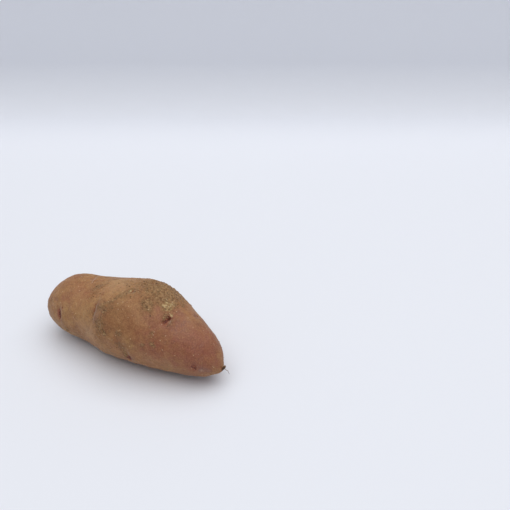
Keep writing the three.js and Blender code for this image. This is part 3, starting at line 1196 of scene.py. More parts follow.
@dataclass(frozen=True)
class PotatoSkin(Finish):
    """Dry potato skin: thin cork, grown in soil, lifted, and left unwashed.

    The cork scatters light almost evenly, so the eye sees a matt tan with a faint wide gleam. It is
    mottled at every size from a centimetre down to its half-millimetre grain. Pale lenticels and
    dark pits dot it. Dust fills the creases, and red pigment shows through where the cork is thin.
    Some pale patches and the pale lines on the lips of eyes are painted light.
    """

    name: str = "dry_potato_skin"
    tan: str = "#9F7646"
    orange: str = "#9A673A"
    broad_mottle: float = 13.0
    broad_steps: tuple[float, float] = (0.35, 0.65)
    mottles: tuple[Mottle, ...] = (
        Mottle(4.2, "#684124", "#B28857", 0.5, 0.1),
        Mottle(2.4, "#925641", "#8A6F42", 0.22, 0.0),
        Mottle(1.3, "#684124", "#B28857", 0.42, 0.12),
    )
    stains_and_painted_light: tuple[StainAndPaintedLight, ...] = (
        # Pale dry cork, and painted light: a paler top, highlights on the heel, a rim of floor light.
        StainAndPaintedLight(Tint.PALE_AND_PAINTED_LIGHT, "#B89066", 6.0, 1.0, 0.5, soft=0.5),
        StainAndPaintedLight(Tint.OCHRE, "#7C4D28", 6.0, 1.0, 0.6, soft=0.5),
        StainAndPaintedLight(Tint.BLUSH, "#82432D", 5.0, 0.8, 0.74, soft=0.6, dull=-0.05),
        StainAndPaintedLight(Tint.BLUSH, "#884A40", 2.2, 1.6, 0.35, level=0.8, soft=0.4),
        StainAndPaintedLight(Tint.VIOLET, "#745A54", 1.2, 1.4, 0.5, soft=0.4, dull=0.05, drawn_out=2.0),
        # Dust: a thin veil, and on it specks of humus and of silt.
        StainAndPaintedLight(Tint.SOIL, "#765636", 3.0, 1.0, 0.55, soft=0.45, dull=0.15),
        StainAndPaintedLight(Tint.SOIL, "#5A462C", 1.0, 2.2, 0.5, level=0.8, soft=0.35, dull=0.1, proud=-0.1),
        StainAndPaintedLight(Tint.SOIL, "#B48F64", 0.9, 2.2, 0.6, level=0.945, soft=0.35, dull=0.1, proud=0.15),
        StainAndPaintedLight(Tint.CREAM, "#9A7E54", 1.4, 1.6, 0.5, soft=0.4, dull=0.2, proud=0.05),
        StainAndPaintedLight(Tint.CREAM, "#CCB284", 1.1, 2.4, 0.8, level=0.85, soft=0.3, dull=0.2, proud=0.15),
        # Pale lines on the lips of eyes and creases: partly scars, partly painted highlight.
        StainAndPaintedLight(Tint.SCAR_AND_HIGHLIGHT, "#AE9080", 0.7, 0.9, 0.65, soft=0.3, drawn_out=4.0),
        StainAndPaintedLight(Tint.RED, "#843420", 1.2, 1.6, 0.7, level=0.45, soft=0.35),
        StainAndPaintedLight(Tint.RED, "#521C0E", 0.8, 2.2, 0.85, level=0.65, soft=0.2),
    )
    # The cork's cells are 0.03 mm, too fine to show, so its grain is drawn at 0.6 mm.
    grain: Mottle = Mottle(0.6, "#5C361E", "#B98A60", 0.36, 0.1)
    # Pale lenticels, and dark pits of two sizes.
    specks: tuple[Specks, ...] = (
        Specks("#D2B08E", 1.9, 0.27, 0.4, 0.6, 0.05, 0.31),
        Specks("#6B4630", 1.7, 0.26, 0.3, 0.5, -0.08, 0.57),
        Specks("#5A3A28", 4.6, 0.3, 0.22, 0.5, -0.12, 0.83),
    )
    ior: float = 1.45
    roughness: float = 0.62
    # The moist flesh below lets a little light through, red the furthest.
    flesh: float = 0.06
    flesh_reach: tuple[float, float, float] = (1.0, 0.45, 0.25)
    flesh_deep: float = 0.8
    sheen: float = 0.04
    sheen_roughness: float = 0.5

    def sockets(self, tree: Tree, place: Socket) -> Inputs:
        """Lays the skin's layers one over the other.

        Args:
            tree: The material's node tree.
            place: The object coordinates.

        Returns:
            What each socket of the shader takes. The stains read the tints' attributes.
        """
        scale = {"Vector": place, "Scale": per_metre(self.broad_mottle), "Detail": 2.0}
        broad = add_node(tree, "TexNoise", inputs=scale).outputs["Fac"]
        low, high = self.broad_steps
        steps = {"Value": broad, "From Min": low, "From Max": high}
        spread = add_node(tree, "MapRange", inputs=steps).outputs["Result"]
        tones = {MIX_FACTOR: spread, MIX_BELOW: linear(self.tan), MIX_ABOVE: linear(self.orange)}
        cork = add_node(tree, "Mix", {"data_type": "RGBA"}, tones).outputs[MIXED]
        coat = Coat(tree, place, cork, 0.0, self.roughness)
        for layer in (*self.mottles, *self.stains_and_painted_light, self.grain, *self.specks):
            coat = layer.lay(coat)
        relief = {"Strength": 1.0, "Distance": MM, "Height": coat.height}
        return {
            "Base Color": coat.colour,
            "Roughness": coat.rough,
            "IOR": self.ior,
            "Subsurface Weight": self.flesh,
            "Subsurface Radius": self.flesh_reach,
            "Subsurface Scale": self.flesh_deep * MM,
            "Sheen Weight": self.sheen,
            "Sheen Roughness": self.sheen_roughness,
            "Normal": add_node(tree, "Bump", inputs=relief).outputs["Normal"],
        }


@dataclass(frozen=True)
class PlantFibre(Finish):
    """Dead plant fibre that has dried in the soil: the stolon's stub, a root hair, or a bud scale.

    It is dark and dull, with lengthwise streaks, and paler where it has frayed.

    Args:
        dark: Its darker colour, as sRGB hex.
        pale: Its paler colour, as sRGB hex.
        streak: Width of a streak, in millimetres.
        roughness: How dull it is.
        uneven: How far the roughness strays.
        drawn_out: How many times longer a streak is than wide.
        paler: How much of the paler colour a frayed end gains.
        steps: Where the paler colour begins, and where it shows in full.
        relief: How far the streaks stand out, in millimetres.
        relief_share: How much of that shows.
        ior: Its index of refraction.
    """

    dark: str
    pale: str
    streak: float
    roughness: float = 0.75
    uneven: float = 0.1
    drawn_out: float = 4.0
    paler: float = 0.7
    steps: tuple[float, float] = (0.4, 1.0)
    relief: float = 0.1
    relief_share: float = 0.8
    ior: float = 1.45

    def sockets(self, tree: Tree, place: Socket) -> Inputs:
        """Streaks the fibre, and makes its frayed ends paler.

        Args:
            tree: The material's node tree.
            place: The object coordinates.

        Returns:
            What each socket of the shader takes. The attribute "fray" is 1 at a frayed end.
        """
        stretch = {"Vector": place, "Scale": (1 / self.drawn_out, 1.0, 1.0)}
        drawn = add_node(tree, "Mapping", inputs=stretch).outputs["Vector"]
        scale = {"Vector": drawn, "Scale": per_metre(self.streak), "Detail": 3.0}
        noise = add_node(tree, "TexNoise", inputs=scale).outputs["Fac"]
        fray = add_node(tree, "Attribute", {"attribute_name": "fray"}).outputs["Fac"]
        sums = {0: fray, 1: self.paler, 2: noise}
        tone = add_node(tree, "Math", {"operation": "MULTIPLY_ADD", "use_clamp": True}, sums)
        low, high = self.steps
        steps = {"Value": tone.outputs["Value"], "From Min": low, "From Max": high}
        share = add_node(tree, "MapRange", inputs=steps).outputs["Result"]
        tones = {MIX_FACTOR: share, MIX_BELOW: linear(self.dark), MIX_ABOVE: linear(self.pale)}
        least, most = self.roughness - self.uneven, self.roughness + self.uneven
        dull = add_node(tree, "MapRange", inputs={"Value": noise, "To Min": least, "To Max": most})
        relief = {"Strength": self.relief_share, "Distance": self.relief * MM, "Height": noise}
        return {
            "Base Color": add_node(tree, "Mix", {"data_type": "RGBA"}, tones).outputs[MIXED],
            "Roughness": dull.outputs["Result"],
            "IOR": self.ior,
            "Normal": add_node(tree, "Bump", inputs=relief).outputs["Normal"],
        }


@dataclass(frozen=True)
class DriedSoil(Finish):
    """Sandy soil, dried to crumbs that cling to the skin: dull, and from dark humus to pale silt.

    Args:
        dark: Colour of humus, as sRGB hex.
        paler: The paler colours, each with the tones where it begins and where it shows in full.
        sand: Size of a grain, in millimetres. Sand is 0.1 to 0.5 mm, and its finer end shows.
        grainy: How much one crumb's tone strays.
        roughness: The least and the most roughness.
        relief: How far a grain stands out, in millimetres.
        relief_share: How much of that shows.
        ior: Its index of refraction.
    """

    name: str = "dried_sandy_soil"
    dark: str = "#483420"
    paler: tuple[tuple[str, float, float], ...] = (("#7E6040", 0.15, 0.6), ("#BA9C72", 0.7, 1.15))
    sand: float = 0.15
    grainy: float = 0.3
    roughness: tuple[float, float] = (0.85, 1.0)
    relief: float = 0.05
    relief_share: float = 0.8
    ior: float = 1.5

    def sockets(self, tree: Tree, place: Socket) -> Inputs:
        """Colours each crumb by its tone, and grains it.

        Args:
            tree: The material's node tree.
            place: The object coordinates.

        Returns:
            What each socket of the shader takes. The attribute "tone" is 0 for humus and 1 for silt.
        """
        scale = {"Vector": place, "Scale": per_metre(self.sand)}
        noise = add_node(tree, "TexNoise", inputs=scale).outputs["Fac"]
        own = add_node(tree, "Attribute", {"attribute_name": "tone"}).outputs["Fac"]
        sums = {0: noise, 1: self.grainy, 2: own}
        tone = add_node(tree, "Math", {"operation": "MULTIPLY_ADD"}, sums).outputs["Value"]
        colour = linear(self.dark)
        for hue, low, high in self.paler:
            steps = {"Value": tone, "From Min": low, "From Max": high}
            share = add_node(tree, "MapRange", inputs=steps).outputs["Result"]
            tones = {MIX_FACTOR: share, MIX_BELOW: colour, MIX_ABOVE: linear(hue)}
            colour = add_node(tree, "Mix", {"data_type": "RGBA"}, tones).outputs[MIXED]
        least, most = self.roughness
        dull = add_node(tree, "MapRange", inputs={"Value": noise, "To Min": least, "To Max": most})
        relief = {"Strength": self.relief_share, "Distance": self.relief * MM, "Height": noise}
        return {
            "Base Color": colour,
            "Roughness": dull.outputs["Result"],
            "IOR": self.ior,
            "Normal": add_node(tree, "Bump", inputs=relief).outputs["Normal"],
        }


@dataclass(frozen=True)
class BackgroundPaper(Finish):
    """White seamless background paper: uncoated, very matt, with a slightly cool white."""

    name: str = "seamless_background_paper"
    white: str = "#E4E6EC"
    # Paper fibre is about 0.1 mm, too fine to show, so its tooth is drawn at 0.6 mm.
    tooth: float = 0.6
    relief: float = 0.02
    relief_share: float = 0.3
    roughness: float = 0.9
    gleam: float = 0.2

    def sockets(self, tree: Tree, place: Socket) -> Inputs:
        """Gives the paper its white and its tooth.

        Args:
            tree: The material's node tree.
            place: The object coordinates.

        Returns:
            What each socket of the shader takes.
        """
        scale = {"Vector": place, "Scale": per_metre(self.tooth), "Detail": 2.0}
        noise = add_node(tree, "TexNoise", inputs=scale).outputs["Fac"]
        relief = {"Strength": self.relief_share, "Distance": self.relief * MM, "Height": noise}
        return {
            "Base Color": linear(self.white),
            "Roughness": self.roughness,
            "Specular IOR Level": self.gleam,
            "Normal": add_node(tree, "Bump", inputs=relief).outputs["Normal"],
        }


# Pieces


@dataclass(frozen=True)
class Tuber:
    """The tuber's skin, on a grid of rings from the head end to the heel end.

    Args:
        form: Its shape.
        finish: Its skin.
        patches: Its stained places and its places of painted light.
        rings: Steps from end to end.
        columns: Steps round it.
    """

    form: TuberForm
    finish: PotatoSkin
    patches: dict[Tint, tuple[Patch, ...]]
    rings: int = 330
    columns: int = 280

    def grid(self) -> tuple[Array, Faces]:
        """Makes the ball's grid, with a pole at each end.

        Returns:
            The points of the unit ball, and the faces.
        """
        turn = np.linspace(0, math.pi, self.rings + 1)[1:-1]
        angle = np.linspace(0, 360, self.columns, endpoint=False)
        rings = self.form.ball(*np.meshgrid((1 - np.cos(turn)) / 2, angle, indexing="ij"))
        head, heel = self.form.ball(np.array([0.0, 1.0]), np.zeros(2))
        return closed_tube(head, rings, heel)

    def unroll(self, piece: bpy.types.Object) -> None:
        """Gives the skin one map, unrolled round its long axis, to bake its material into.

        Args:
            piece: The skin's object, with its faces column by column.
        """
        rows = [ring / self.rings for ring in range(self.rings + 1)]
        corners: list[tuple[float, float]] = []
        for column in range(self.columns):
            left, right = column / self.columns, (column + 1) / self.columns
            corners += [((left + right) / 2, 0.0), (right, rows[1]), (left, rows[1])]
            for above, below in zip(rows[1:-2], rows[2:-1]):
                corners += [(left, above), (right, above), (right, below), (left, below)]
            corners += [((left + right) / 2, 1.0), (left, rows[-2]), (right, rows[-2])]
        layer = piece.data.uv_layers.new(name="OFBake")
        layer.data.foreach_set("uv", np.array(corners, dtype=np.float32).ravel())

    def build(self) -> bpy.types.Object:
        """Makes the skin, with its tints, map and material, in place of the CAD solid.

        Returns:
            The skin's object.
        """
        ball, faces = self.grid()
        marks = SkinMarks(self.form, self.patches)
        shares = marks.at(ball)
        crust = marks.crust_relief(ball, shares)[:, None] * self.form.outwards(ball)
        tints = {tint.value: share for tint, share in shares.items()}
        piece = new_piece("potato_skin", self.form.skin(ball) + crust, faces, self.finish, tints)
        self.unroll(piece)
        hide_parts(NODE)
        return piece


@dataclass(frozen=True)
class BudScales:
    """The dried scale leaves of the buds, lying in the slits of the eyes. Lengths are in millimetres.

    Args:
        form: The tuber's shape.
        finish: Their material.
        count: Scales in an eye.
        least_red: How red an eye has to be to have them.
        length: Length of a scale.
        width: Its width.
        thickness: Its thickness.
        taper: What draws its tip out, from 1 for not at all to 0.
        bend: How far its tip bends up, as a share of its length.
        smallest: Size of the smallest, as a share of a full one.
        spread: How much of the slit they fill.
        stray: How far one strays along the tuber.
        swing: How far one turns from its neighbours, in degrees.
        tilt: The least that one tilts up, and what it may gain, in degrees.
        sunk: How deep its base is in the skin.
        rings: Steps from its base to its tip.
        sides: Steps round it.
        seed: The draw.
    """

    form: TuberForm
    finish: PlantFibre
    count: int = 5
    least_red: float = 0.3
    length: float = 1.1
    width: float = 0.7
    thickness: float = 0.22
    taper: float = 0.7
    bend: float = 0.25
    smallest: float = 0.55
    spread: float = 0.75
    stray: float = 0.3
    swing: float = 120.0
    tilt: tuple[float, float] = (10.0, 30.0)
    sunk: float = 0.1
    rings: int = 6
    sides: int = 8
    seed: int = 23

    def leaf(self) -> tuple[Array, Faces]:
        """Makes one scale: a flat, pointed bulb along +X, closed all round.

        Returns:
            Its points and faces.
        """
        t = (np.arange(1, self.rings) / self.rings)[:, None]
        angle = 2 * math.pi * np.arange(self.sides) / self.sides
        full = np.sin(math.pi * t**self.taper)
        rise = self.bend * self.length * t**2
        x = np.repeat(self.length * t, self.sides, axis=1)
        y = self.width / 2 * full * np.cos(angle)
        z = self.thickness / 2 * full * np.sin(angle) + rise
        tip = np.array([self.length, 0, self.bend * self.length])
        return closed_tube(np.zeros(3), np.stack([x, y, z], -1), tip)

    def placed(self, leaf: Array, eye: Eye, draw: Iterator[float]) -> Array:
        """Places one scale in an eye.

        Args:
            leaf: The scale's points, along +X.
            eye: The eye.
            draw: The seeded draws.

        Returns:
            Its points on the tuber.
        """
        centre = self.form.spot(eye.along, eye.around).centre
        radius = math.hypot(centre[1], centre[2] - self.form.height / 2)
        off = (next(draw) - 0.5) * self.spread * eye.slit
        around = eye.around + math.degrees(off / radius)
        stray = self.stray * (next(draw) - 0.5) - self.form.brow_bow * off * off
        along = eye.along + stray / self.form.length
        base, heelward, out = (row[0] for row in self.form.on_skin(np.array([along]), np.array([around])))
        turn = math.radians(180 + self.swing * (next(draw) - 0.5))
        flat = math.cos(turn) * heelward + math.sin(turn) * np.cross(out, heelward)
        tilt = math.radians(self.tilt[0] + self.tilt[1] * next(draw))
        ahead = math.cos(tilt) * flat + math.sin(tilt) * out
        up = math.cos(tilt) * out - math.sin(tilt) * flat
        size = self.smallest + (1 - self.smallest) * next(draw)
        return leaf * size @ np.stack([ahead, np.cross(up, ahead), up]) + base - self.sunk * out

    def build(self) -> bpy.types.Object:
        """Makes all the scales as one piece.

        Returns:
            The scales' object.
        """
        leaf, leaf_faces = self.leaf()
        draw = draws(self.seed)
        points: list[Array] = []
        faces: Faces = []
        fray: list[Array] = []
        for eye in self.form.eyes:
            for _ in range(self.count if eye.red >= self.least_red else 0):
                start = len(points) * len(leaf)
                points.append(self.placed(leaf, eye, draw))
                faces += [tuple(start + corner for corner in face) for face in leaf_faces]
                fray.append(leaf[:, 0] / self.length * next(draw))
        marks = {"fray": np.concatenate(fray)}
        return new_piece("bud_scales", np.concatenate(points), faces, self.finish, marks)


@dataclass(frozen=True)
class StolonStub:
    """The withered stub of the stolon, a twig that curls up out of the heel end, in millimetres.

    Args:
        form: The tuber's shape.
        finish: Its material.
        length: How far it stands out, along its curl.
        root: How deep it starts in the flesh.
        radii: Its radii, from its root to its torn end.
        curl: Radius of the curl.
        above: How far its root is above the heel tip.
        lift: Degrees that its root points up.
        turn: Degrees that it points towards +Y.
        ridges: How many ridges run along it.
        ridge: How high they are, as a share of its radius.
        twist: How far they wind round it, in radians.
        torn: How deep its end is torn.
        torn_from: Where the tear begins, as a share of its whole length.
        hollow: How deep the middle of its end is.
        frayed: How much of its end is frayed.
        hair_at: Where the root hair grows on the straight twig.
        rings: Steps along it.
        sides: Steps round it.
        seed: The draw.
    """

    form: TuberForm
    finish: PlantFibre
    length: float = 2.5
    root: float = 2.0
    radii: tuple[float, ...] = (0.7, 0.7, 0.65, 0.52, 0.44, 0.5, 0.38)
    curl: float = 3.0
    above: float = 0.9
    lift: float = 38.0
    turn: float = 20.0
    ridges: int = 7
    ridge: float = 0.09
    twist: float = 4.0
    torn: float = 0.35
    torn_from: float = 0.85
    hollow: float = 0.45
    frayed: float = 0.5
    hair_at: tuple[float, float, float] = (0.7, 0.0, -0.35)
    rings: int = 36
    sides: int = 28
    seed: int = 31

    def bent(self, points: Array) -> Array:
        """Curls a straight twig along +X, turns it and sets it on the heel tip.

        Args:
            points: Points of the straight twig.

        Returns:
            Where they are on the tuber.
        """
        heel = self.form.skin(self.form.ball(np.array([1.0]), np.zeros(1)))[0]
        angle = np.maximum(points[:, 0], 0) / self.curl
        inside = self.curl - points[:, 2]
        x = np.minimum(points[:, 0], 0) + inside * np.sin(angle)
        curled = np.stack([x, points[:, 1], self.curl - inside * np.cos(angle)], -1)
        lifted = Matrix.Rotation(-math.radians(self.lift), 3, "Y")
        turned = Matrix.Rotation(math.radians(self.turn), 3, "Z")
        return curled @ np.array(turned @ lifted).T + heel + np.array([0, 0, self.above])

    def build(self) -> bpy.types.Object:
        """Makes the stub: a ridged twig with a torn, hollowed end.

        Returns:
            The stub's object.
        """
        draw = draws(self.seed)
        steps = np.linspace(0, 1, self.rings + 1)
        angle = np.linspace(0, 2 * math.pi, self.sides, endpoint=False)
        torn = np.array([next(draw) for _ in angle]) * self.torn
        rings = []
        for step, radius in zip(steps, np.interp(steps, np.linspace(0, 1, len(self.radii)), self.radii)):
            ridged = radius * (1 + self.ridge * np.cos(self.ridges * angle + self.twist * step))
            tear = torn * max(step - self.torn_from, 0) / (1 - self.torn_from)
            x = (self.root + self.length) * step - self.root - tear
            rings.append(np.stack([x, ridged * np.cos(angle), ridged * np.sin(angle)], -1))
        root = np.array([-self.root, 0, 0])
        straight, faces = closed_tube(root, np.array(rings), np.array([self.length - self.hollow, 0, 0]))
        fray = np.clip((straight[:, 0] - self.length) / self.frayed + 1, 0, 1)
        return new_piece("stolon_stub", self.bent(straight), faces, self.finish, {"fray": fray})


@dataclass(frozen=True)
class RootHair:
    """A dry root that hangs from the stub, thinner than a bristle. Lengths are in millimetres.

    Args:
        stub: The stub that it grows from.
        finish: Its material.
        way: Where its end is, seen from its start.
        sag: How far its middle hangs out of the straight line.
        wave: How far it waves to each side.
        bends: How many times it waves.
        thick: Its diameter at the stub.
        thin: Its diameter at the end.
        crosswise: A direction in which it never runs.
        steps: Steps along it.
        sides: Steps round it.
    """

    stub: StolonStub
    finish: PlantFibre
    way: tuple[float, float, float] = (2.3, 0.4, -2.6)
    sag: tuple[float, float, float] = (0.5, 0.1, 0.35)
    wave: tuple[float, float, float] = (0.0, 0.08, 0.032)
    bends: int = 5
    thick: float = 0.3
    thin: float = 0.13
    crosswise: tuple[float, float, float] = (0.3, 1.0, 0.2)
    steps: int = 24
    sides: int = 8

    def build(self) -> bpy.types.Object:
        """Makes the hair: a tapered tube along a bowed line with a slight wave.

        Returns:
            The hair's object.
        """
        start = self.stub.bent(np.array([self.stub.hair_at]))
        t = np.linspace(0, 1, self.steps + 1)[:, None]
        bow = np.sin(math.pi * t) * self.sag + np.sin(self.bends * math.pi * t) * self.wave
        path = start + t * self.way + bow
        ahead = unit(np.gradient(path, axis=0))
        side = unit(np.cross(ahead, self.crosswise))
        up = np.cross(ahead, side)
        angle = np.linspace(0, 2 * math.pi, self.sides, endpoint=False)[:, None]
        section = np.cos(angle) * side[:, None] + np.sin(angle) * up[:, None]
        radius = (self.thick + (self.thin - self.thick) * t[:, :, None]) / 2
        points, faces = closed_tube(
            path[0], path[:, None] + radius * section, path[-1] + ahead[-1] * self.thin
        )
        fray = np.concatenate([[0.0], np.repeat(1 - t, self.sides), [0.0]])
        return new_piece("root_hair", points, faces, self.finish, {"fray": fray})


@dataclass(frozen=True)
class SoilCrumbs:
    """Crumbs of dried soil that cling to the skin where it is dusty. Lengths are in millimetres.

    Args:
        form: The tuber's shape.
        finish: Their material.
        patches: The stained places and places of painted light, of which those of soil and cream have
            crumbs.
        count: How many are drawn.
        least: The smallest crumb, from side to side.
        most: The largest.
        small_ones: How strongly small crumbs outnumber large ones.
        scattered: The share that lies anywhere on the tuber.
        flakes: How many more crumbs a patch of cream has than one of soil.
        spread: How far the crumbs of a patch reach, as a share of its own reach.
        ends: Where along the tuber they stop.
        lowest: How far above the floor they stop.
        jagged: The least and the most that a corner stands out.
        long: The least and the most length, as a share of the width.
        squat: The same for the height.
        raised: How far the middle of a crumb is above the skin, as a share of its size.
        silt_tones: Shape of the spread of tones of the crumbs on cream, a beta distribution.
        soil_tones: The same on soil.
        seed: The draw.
    """

    form: TuberForm
    finish: DriedSoil
    patches: dict[Tint, tuple[Patch, ...]]
    count: int = 1500
    least: float = 0.18
    most: float = 0.7
    small_ones: float = 2.6
    scattered: float = 0.08
    flakes: float = 1.8
    spread: float = 0.6
    ends: tuple[float, float] = (0.01, 0.985)
    lowest: float = 1.0
    jagged: tuple[float, float] = (0.7, 1.3)
    long: tuple[float, float] = (0.8, 1.3)
    squat: tuple[float, float] = (0.4, 0.8)
    raised: float = 0.15
    silt_tones: tuple[float, float] = (3.0, 1.0)
    soil_tones: tuple[float, float] = (1.6, 1.6)
    seed: int = 5

    @staticmethod
    def lump() -> tuple[Array, Faces]:
        """Makes a round lump, one from side to side, of twenty triangles.

        Returns:
            Its points and faces.
        """
        golden = (1 + math.sqrt(5)) / 2
        corners = []
        for a in (-1, 1):
            for b in (-golden, golden):
                corners += [(0, a, b), (a, b, 0), (b, 0, a)]
        points = unit(np.array(corners, float)) / 2
        # Two corners of a triangle are no further apart than an edge, with a little for rounding.
        edge = 1.01 * min(np.linalg.norm(points[0] - other) for other in points[1:])
        faces = []
        for i, j, k in combinations(range(len(points)), 3):
            sides = (points[i] - points[j], points[j] - points[k], points[k] - points[i])
            if max(np.linalg.norm(side) for side in sides) < edge:
                normal = np.cross(points[j] - points[i], points[k] - points[i])
                faces.append((i, j, k) if normal @ points[i] > 0 else (i, k, j))
        return points, faces

    def places(self, rng: np.random.Generator) -> tuple[Array, Array, Array]:
        """Draws where the crumbs lie.

        Args:
            rng: The seeded generator.

        Returns:
            Each crumb's `along` and `around`, and its tone, from 0 for humus to 1 for silt.
        """
        dusty = [(tint, patch) for tint in (Tint.SOIL, Tint.CREAM) for patch in self.patches[tint]]
        weights = np.array([patch.strength * patch.long * patch.wide for _, patch in dusty])
        weights *= [self.flakes if tint is Tint.CREAM else 1.0 for tint, _ in dusty]
        along, around, tone = np.zeros((3, self.count))
        for i, number in enumerate(rng.choice(len(dusty), self.count, p=weights / weights.sum())):
            tint, patch = dusty[number]
            along[i] = patch.along + rng.normal() * self.spread * patch.long / self.form.length
            off = rng.normal() * self.spread * patch.wide / self.form.half_width(patch.along)
            around[i] = patch.around + math.degrees(off)
            tone[i] = rng.beta(*(self.silt_tones if tint is Tint.CREAM else self.soil_tones))
        loose = rng.random(self.count) < self.scattered
        along[loose] = (1 - np.cos(math.pi * rng.random(loose.sum()))) / 2
        around[loose] = 360 * rng.random(loose.sum())
        return np.clip(along, *self.ends), around, tone

    def build(self) -> bpy.types.Object:
        """Makes all the crumbs as one piece.

        Returns:
            The crumbs' object.
        """
        rng = np.random.default_rng(self.seed)
        lump, lump_faces = self.lump()
        along, around, tone = self.places(rng)
        base, heelward, out = self.form.on_skin(along, around)
        side = np.cross(out, heelward)
        points, faces, tones = [], [], []
        for i in np.flatnonzero(base[:, 2] >= self.lowest):
            size = self.least + (self.most - self.least) * rng.random() ** self.small_ones
            corners = lump * rng.uniform(*self.jagged, (len(lump), 1))
            corners *= (size * rng.uniform(*self.long), size, size * rng.uniform(*self.squat))
            start = len(points) * len(lump)
            turn = 2 * math.pi * rng.random()
            first = math.cos(turn) * heelward[i] + math.sin(turn) * side[i]
            axes = np.stack([first, np.cross(out[i], first), out[i]])
            points.append(corners @ axes + base[i] + self.raised * size * out[i])
            faces += [tuple(start + corner for corner in face) for face in lump_faces]
            tones += [tone[i]] * len(lump)
        marks = {"tone": np.array(tones)}
        return new_piece("soil_crumbs", np.concatenate(points), faces, self.finish, marks)


# The photo's camera and the studio


@dataclass(frozen=True)
class PhotoCamera:
    """The camera that the photo was taken with, as fitted to the tuber's outline.

    Args:
        frame_px: Width and height of the photo.
        lens: Focal length, in millimetres.
        sensor: Width of the sensor, in millimetres.
        azimuth: Degrees round from the tuber's -Y side towards its heel.
        elevation: Degrees above the floor.
        aim: A point in the middle of the tuber, in millimetres.
        aim_px: The pixel where the photo has that point.
        depth: How far the point is in front of the camera, in millimetres.
        nearest: Where the view begins, in metres.
    """

    frame_px: float = 510.0
    lens: float = 50.0
    sensor: float = 36.0
    azimuth: float = 28.0
    elevation: float = 32.0
    aim: tuple[float, float, float] = (0.0, 0.0, 18.0)
    aim_px: tuple[float, float] = (135.0, 321.1)
    depth: float = 343.0
    nearest: float = 0.01

    def build(self) -> bpy.types.Object:
        """Makes the camera and has the scene use it.

        Returns:
            The camera's object.
        """
        round_by, up_by = math.radians(self.azimuth), math.radians(self.elevation)
        level = Vector((math.sin(round_by), -math.cos(round_by), 0))
        back = level * math.cos(up_by) + Vector((0, 0, math.sin(up_by)))
        right = Vector((math.cos(round_by), math.sin(round_by), 0))
        up = back.cross(right)
        mm_per_px = self.depth * self.sensor / (self.frame_px * self.lens)
        aside = (self.aim_px[0] - self.frame_px / 2) * mm_per_px
        above = (self.frame_px / 2 - self.aim_px[1]) * mm_per_px
        place = Vector(self.aim) - aside * right - above * up + self.depth * back
        data = bpy.data.cameras.new("photo_camera")
        data.lens = self.lens
        data.sensor_width = self.sensor
        data.clip_start = self.nearest
        camera = bpy.data.objects.new("photo_camera", data)
        axes = Matrix((right, up, back)).transposed()
        camera.matrix_world = Matrix.Translation(place * MM) @ axes.to_4x4()
        bpy.context.scene.collection.objects.link(camera)
        bpy.context.scene.camera = camera
        return camera


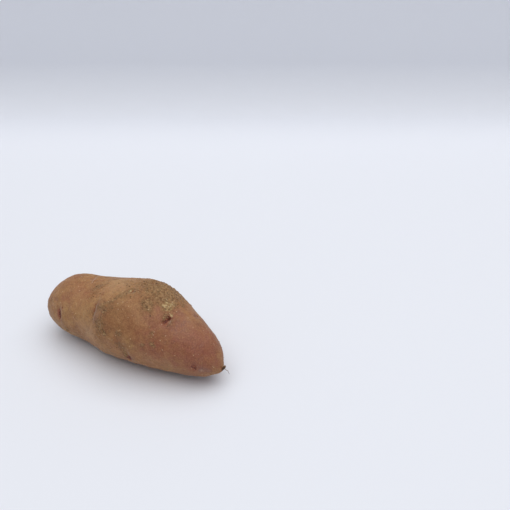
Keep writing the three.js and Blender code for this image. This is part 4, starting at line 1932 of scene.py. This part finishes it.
@dataclass(frozen=True)
class Studio:
    """A sweep of pale paper under one broad soft light, high above the tuber. Lengths are in metres.

    Args:
        paper: The sweep's finish.
        azimuth: Degrees that the studio is turned, the same as the camera.
        behind: From the tuber to where the paper starts to curve up.
        curve: Radius of the curve.
        curve_steps: Steps of the curve.
        lean: Degrees that the wall leans forward.
        front: How far the paper reaches the other way.
        wall: Height of the wall.
        half_width: Half the width of the paper.
        sky: Colour of the light that fills the room, as sRGB hex.
        sky_strength: How bright that light is.
        key_power: Power of the broad light, in watts.
        key_size: Its width.
        key_place: Where it hangs, before the turn.
    """

    paper: BackgroundPaper
    azimuth: float
    behind: float = 0.31
    curve: float = 0.035
    curve_steps: int = 24
    lean: float = 10.0
    front: float = 8.0
    wall: float = 0.08
    half_width: float = 4.0
    sky: str = "#EDF0F6"
    sky_strength: float = 0.445
    key_power: float = 18.8
    key_size: float = 2.0
    key_place: tuple[float, float, float] = (0.1, -0.04, 1.25)

    def turned(self) -> Matrix:
        """Returns the turn that makes the studio face the camera."""
        return Matrix.Rotation(math.radians(self.azimuth), 4, "Z")

    def sweep(self) -> bpy.types.Object:
        """Makes the paper: flat floor, round bend, and wall.

        Returns:
            The sweep's object.
        """
        profile = [(-self.front, 0.0)]
        upright = math.radians(90 + self.lean)
        for angle in np.linspace(0, upright, self.curve_steps + 1):
            profile.append((self.behind + self.curve * math.sin(angle), self.curve * (1 - math.cos(angle))))
        foot_y, foot_z = profile[-1]
        profile.append((foot_y + self.wall * math.cos(upright), foot_z + self.wall * math.sin(upright)))
        points = []
        for y, z in profile:
            points += [(-self.half_width, y, z), (self.half_width, y, z)]
        faces = [(2 * i, 2 * i + 1, 2 * i + 3, 2 * i + 2) for i in range(len(profile) - 1)]
        paper = new_piece("paper_sweep", np.array(points) / MM, faces, self.paper)
        paper.matrix_world = self.turned()
        return paper

    def lights(self) -> None:
        """Hangs the broad light, and fills the room with pale light."""
        data = bpy.data.lights.new("overhead_softbox", "AREA")
        data.shape = "SQUARE"
        data.size = self.key_size
        data.energy = self.key_power
        light = bpy.data.objects.new("overhead_softbox", data)
        place = self.turned() @ Vector(self.key_place)
        aimed = place.to_track_quat("Z", "Y").to_matrix().to_4x4()
        light.matrix_world = Matrix.Translation(place) @ aimed
        bpy.context.scene.collection.objects.link(light)
        world = bpy.data.worlds.new("pale_room")
        world.use_nodes = True
        background = world.node_tree.nodes["Background"]
        background.inputs["Color"].default_value = linear(self.sky)
        background.inputs["Strength"].default_value = self.sky_strength
        bpy.context.scene.world = world

    def build(self) -> None:
        """Makes the sweep and the lights, and shows colours as they are."""
        self.sweep()
        self.lights()
        bpy.context.scene.view_settings.view_transform = "Standard"


def main() -> None:
    """Builds the camera, the potato's pieces and the studio, in that order."""
    logging.basicConfig(level=logging.INFO, format="%(message)s")
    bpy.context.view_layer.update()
    camera = PhotoCamera()
    camera.build()

    form = TuberForm()
    stub = StolonStub(form, PlantFibre("withered_stolon", "#3A2616", "#8A6844", 0.2))
    pieces = [
        Tuber(form, PotatoSkin(), PATCHES).build(),
        BudScales(form, PlantFibre("dried_bud_scales", "#5A2418", "#8C5640", 0.25, 0.6)).build(),
        stub.build(),
        RootHair(stub, PlantFibre("dry_root_hair", "#45301F", "#86664A", 0.3)).build(),
        SoilCrumbs(form, DriedSoil(), PATCHES).build(),
    ]
    for piece in pieces:
        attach(piece, BODY)
        LOG.info("%s: %d faces", piece.name, len(piece.data.polygons))

    Studio(BackgroundPaper(), camera.azimuth).build()


if __name__ == "__main__":
    main()
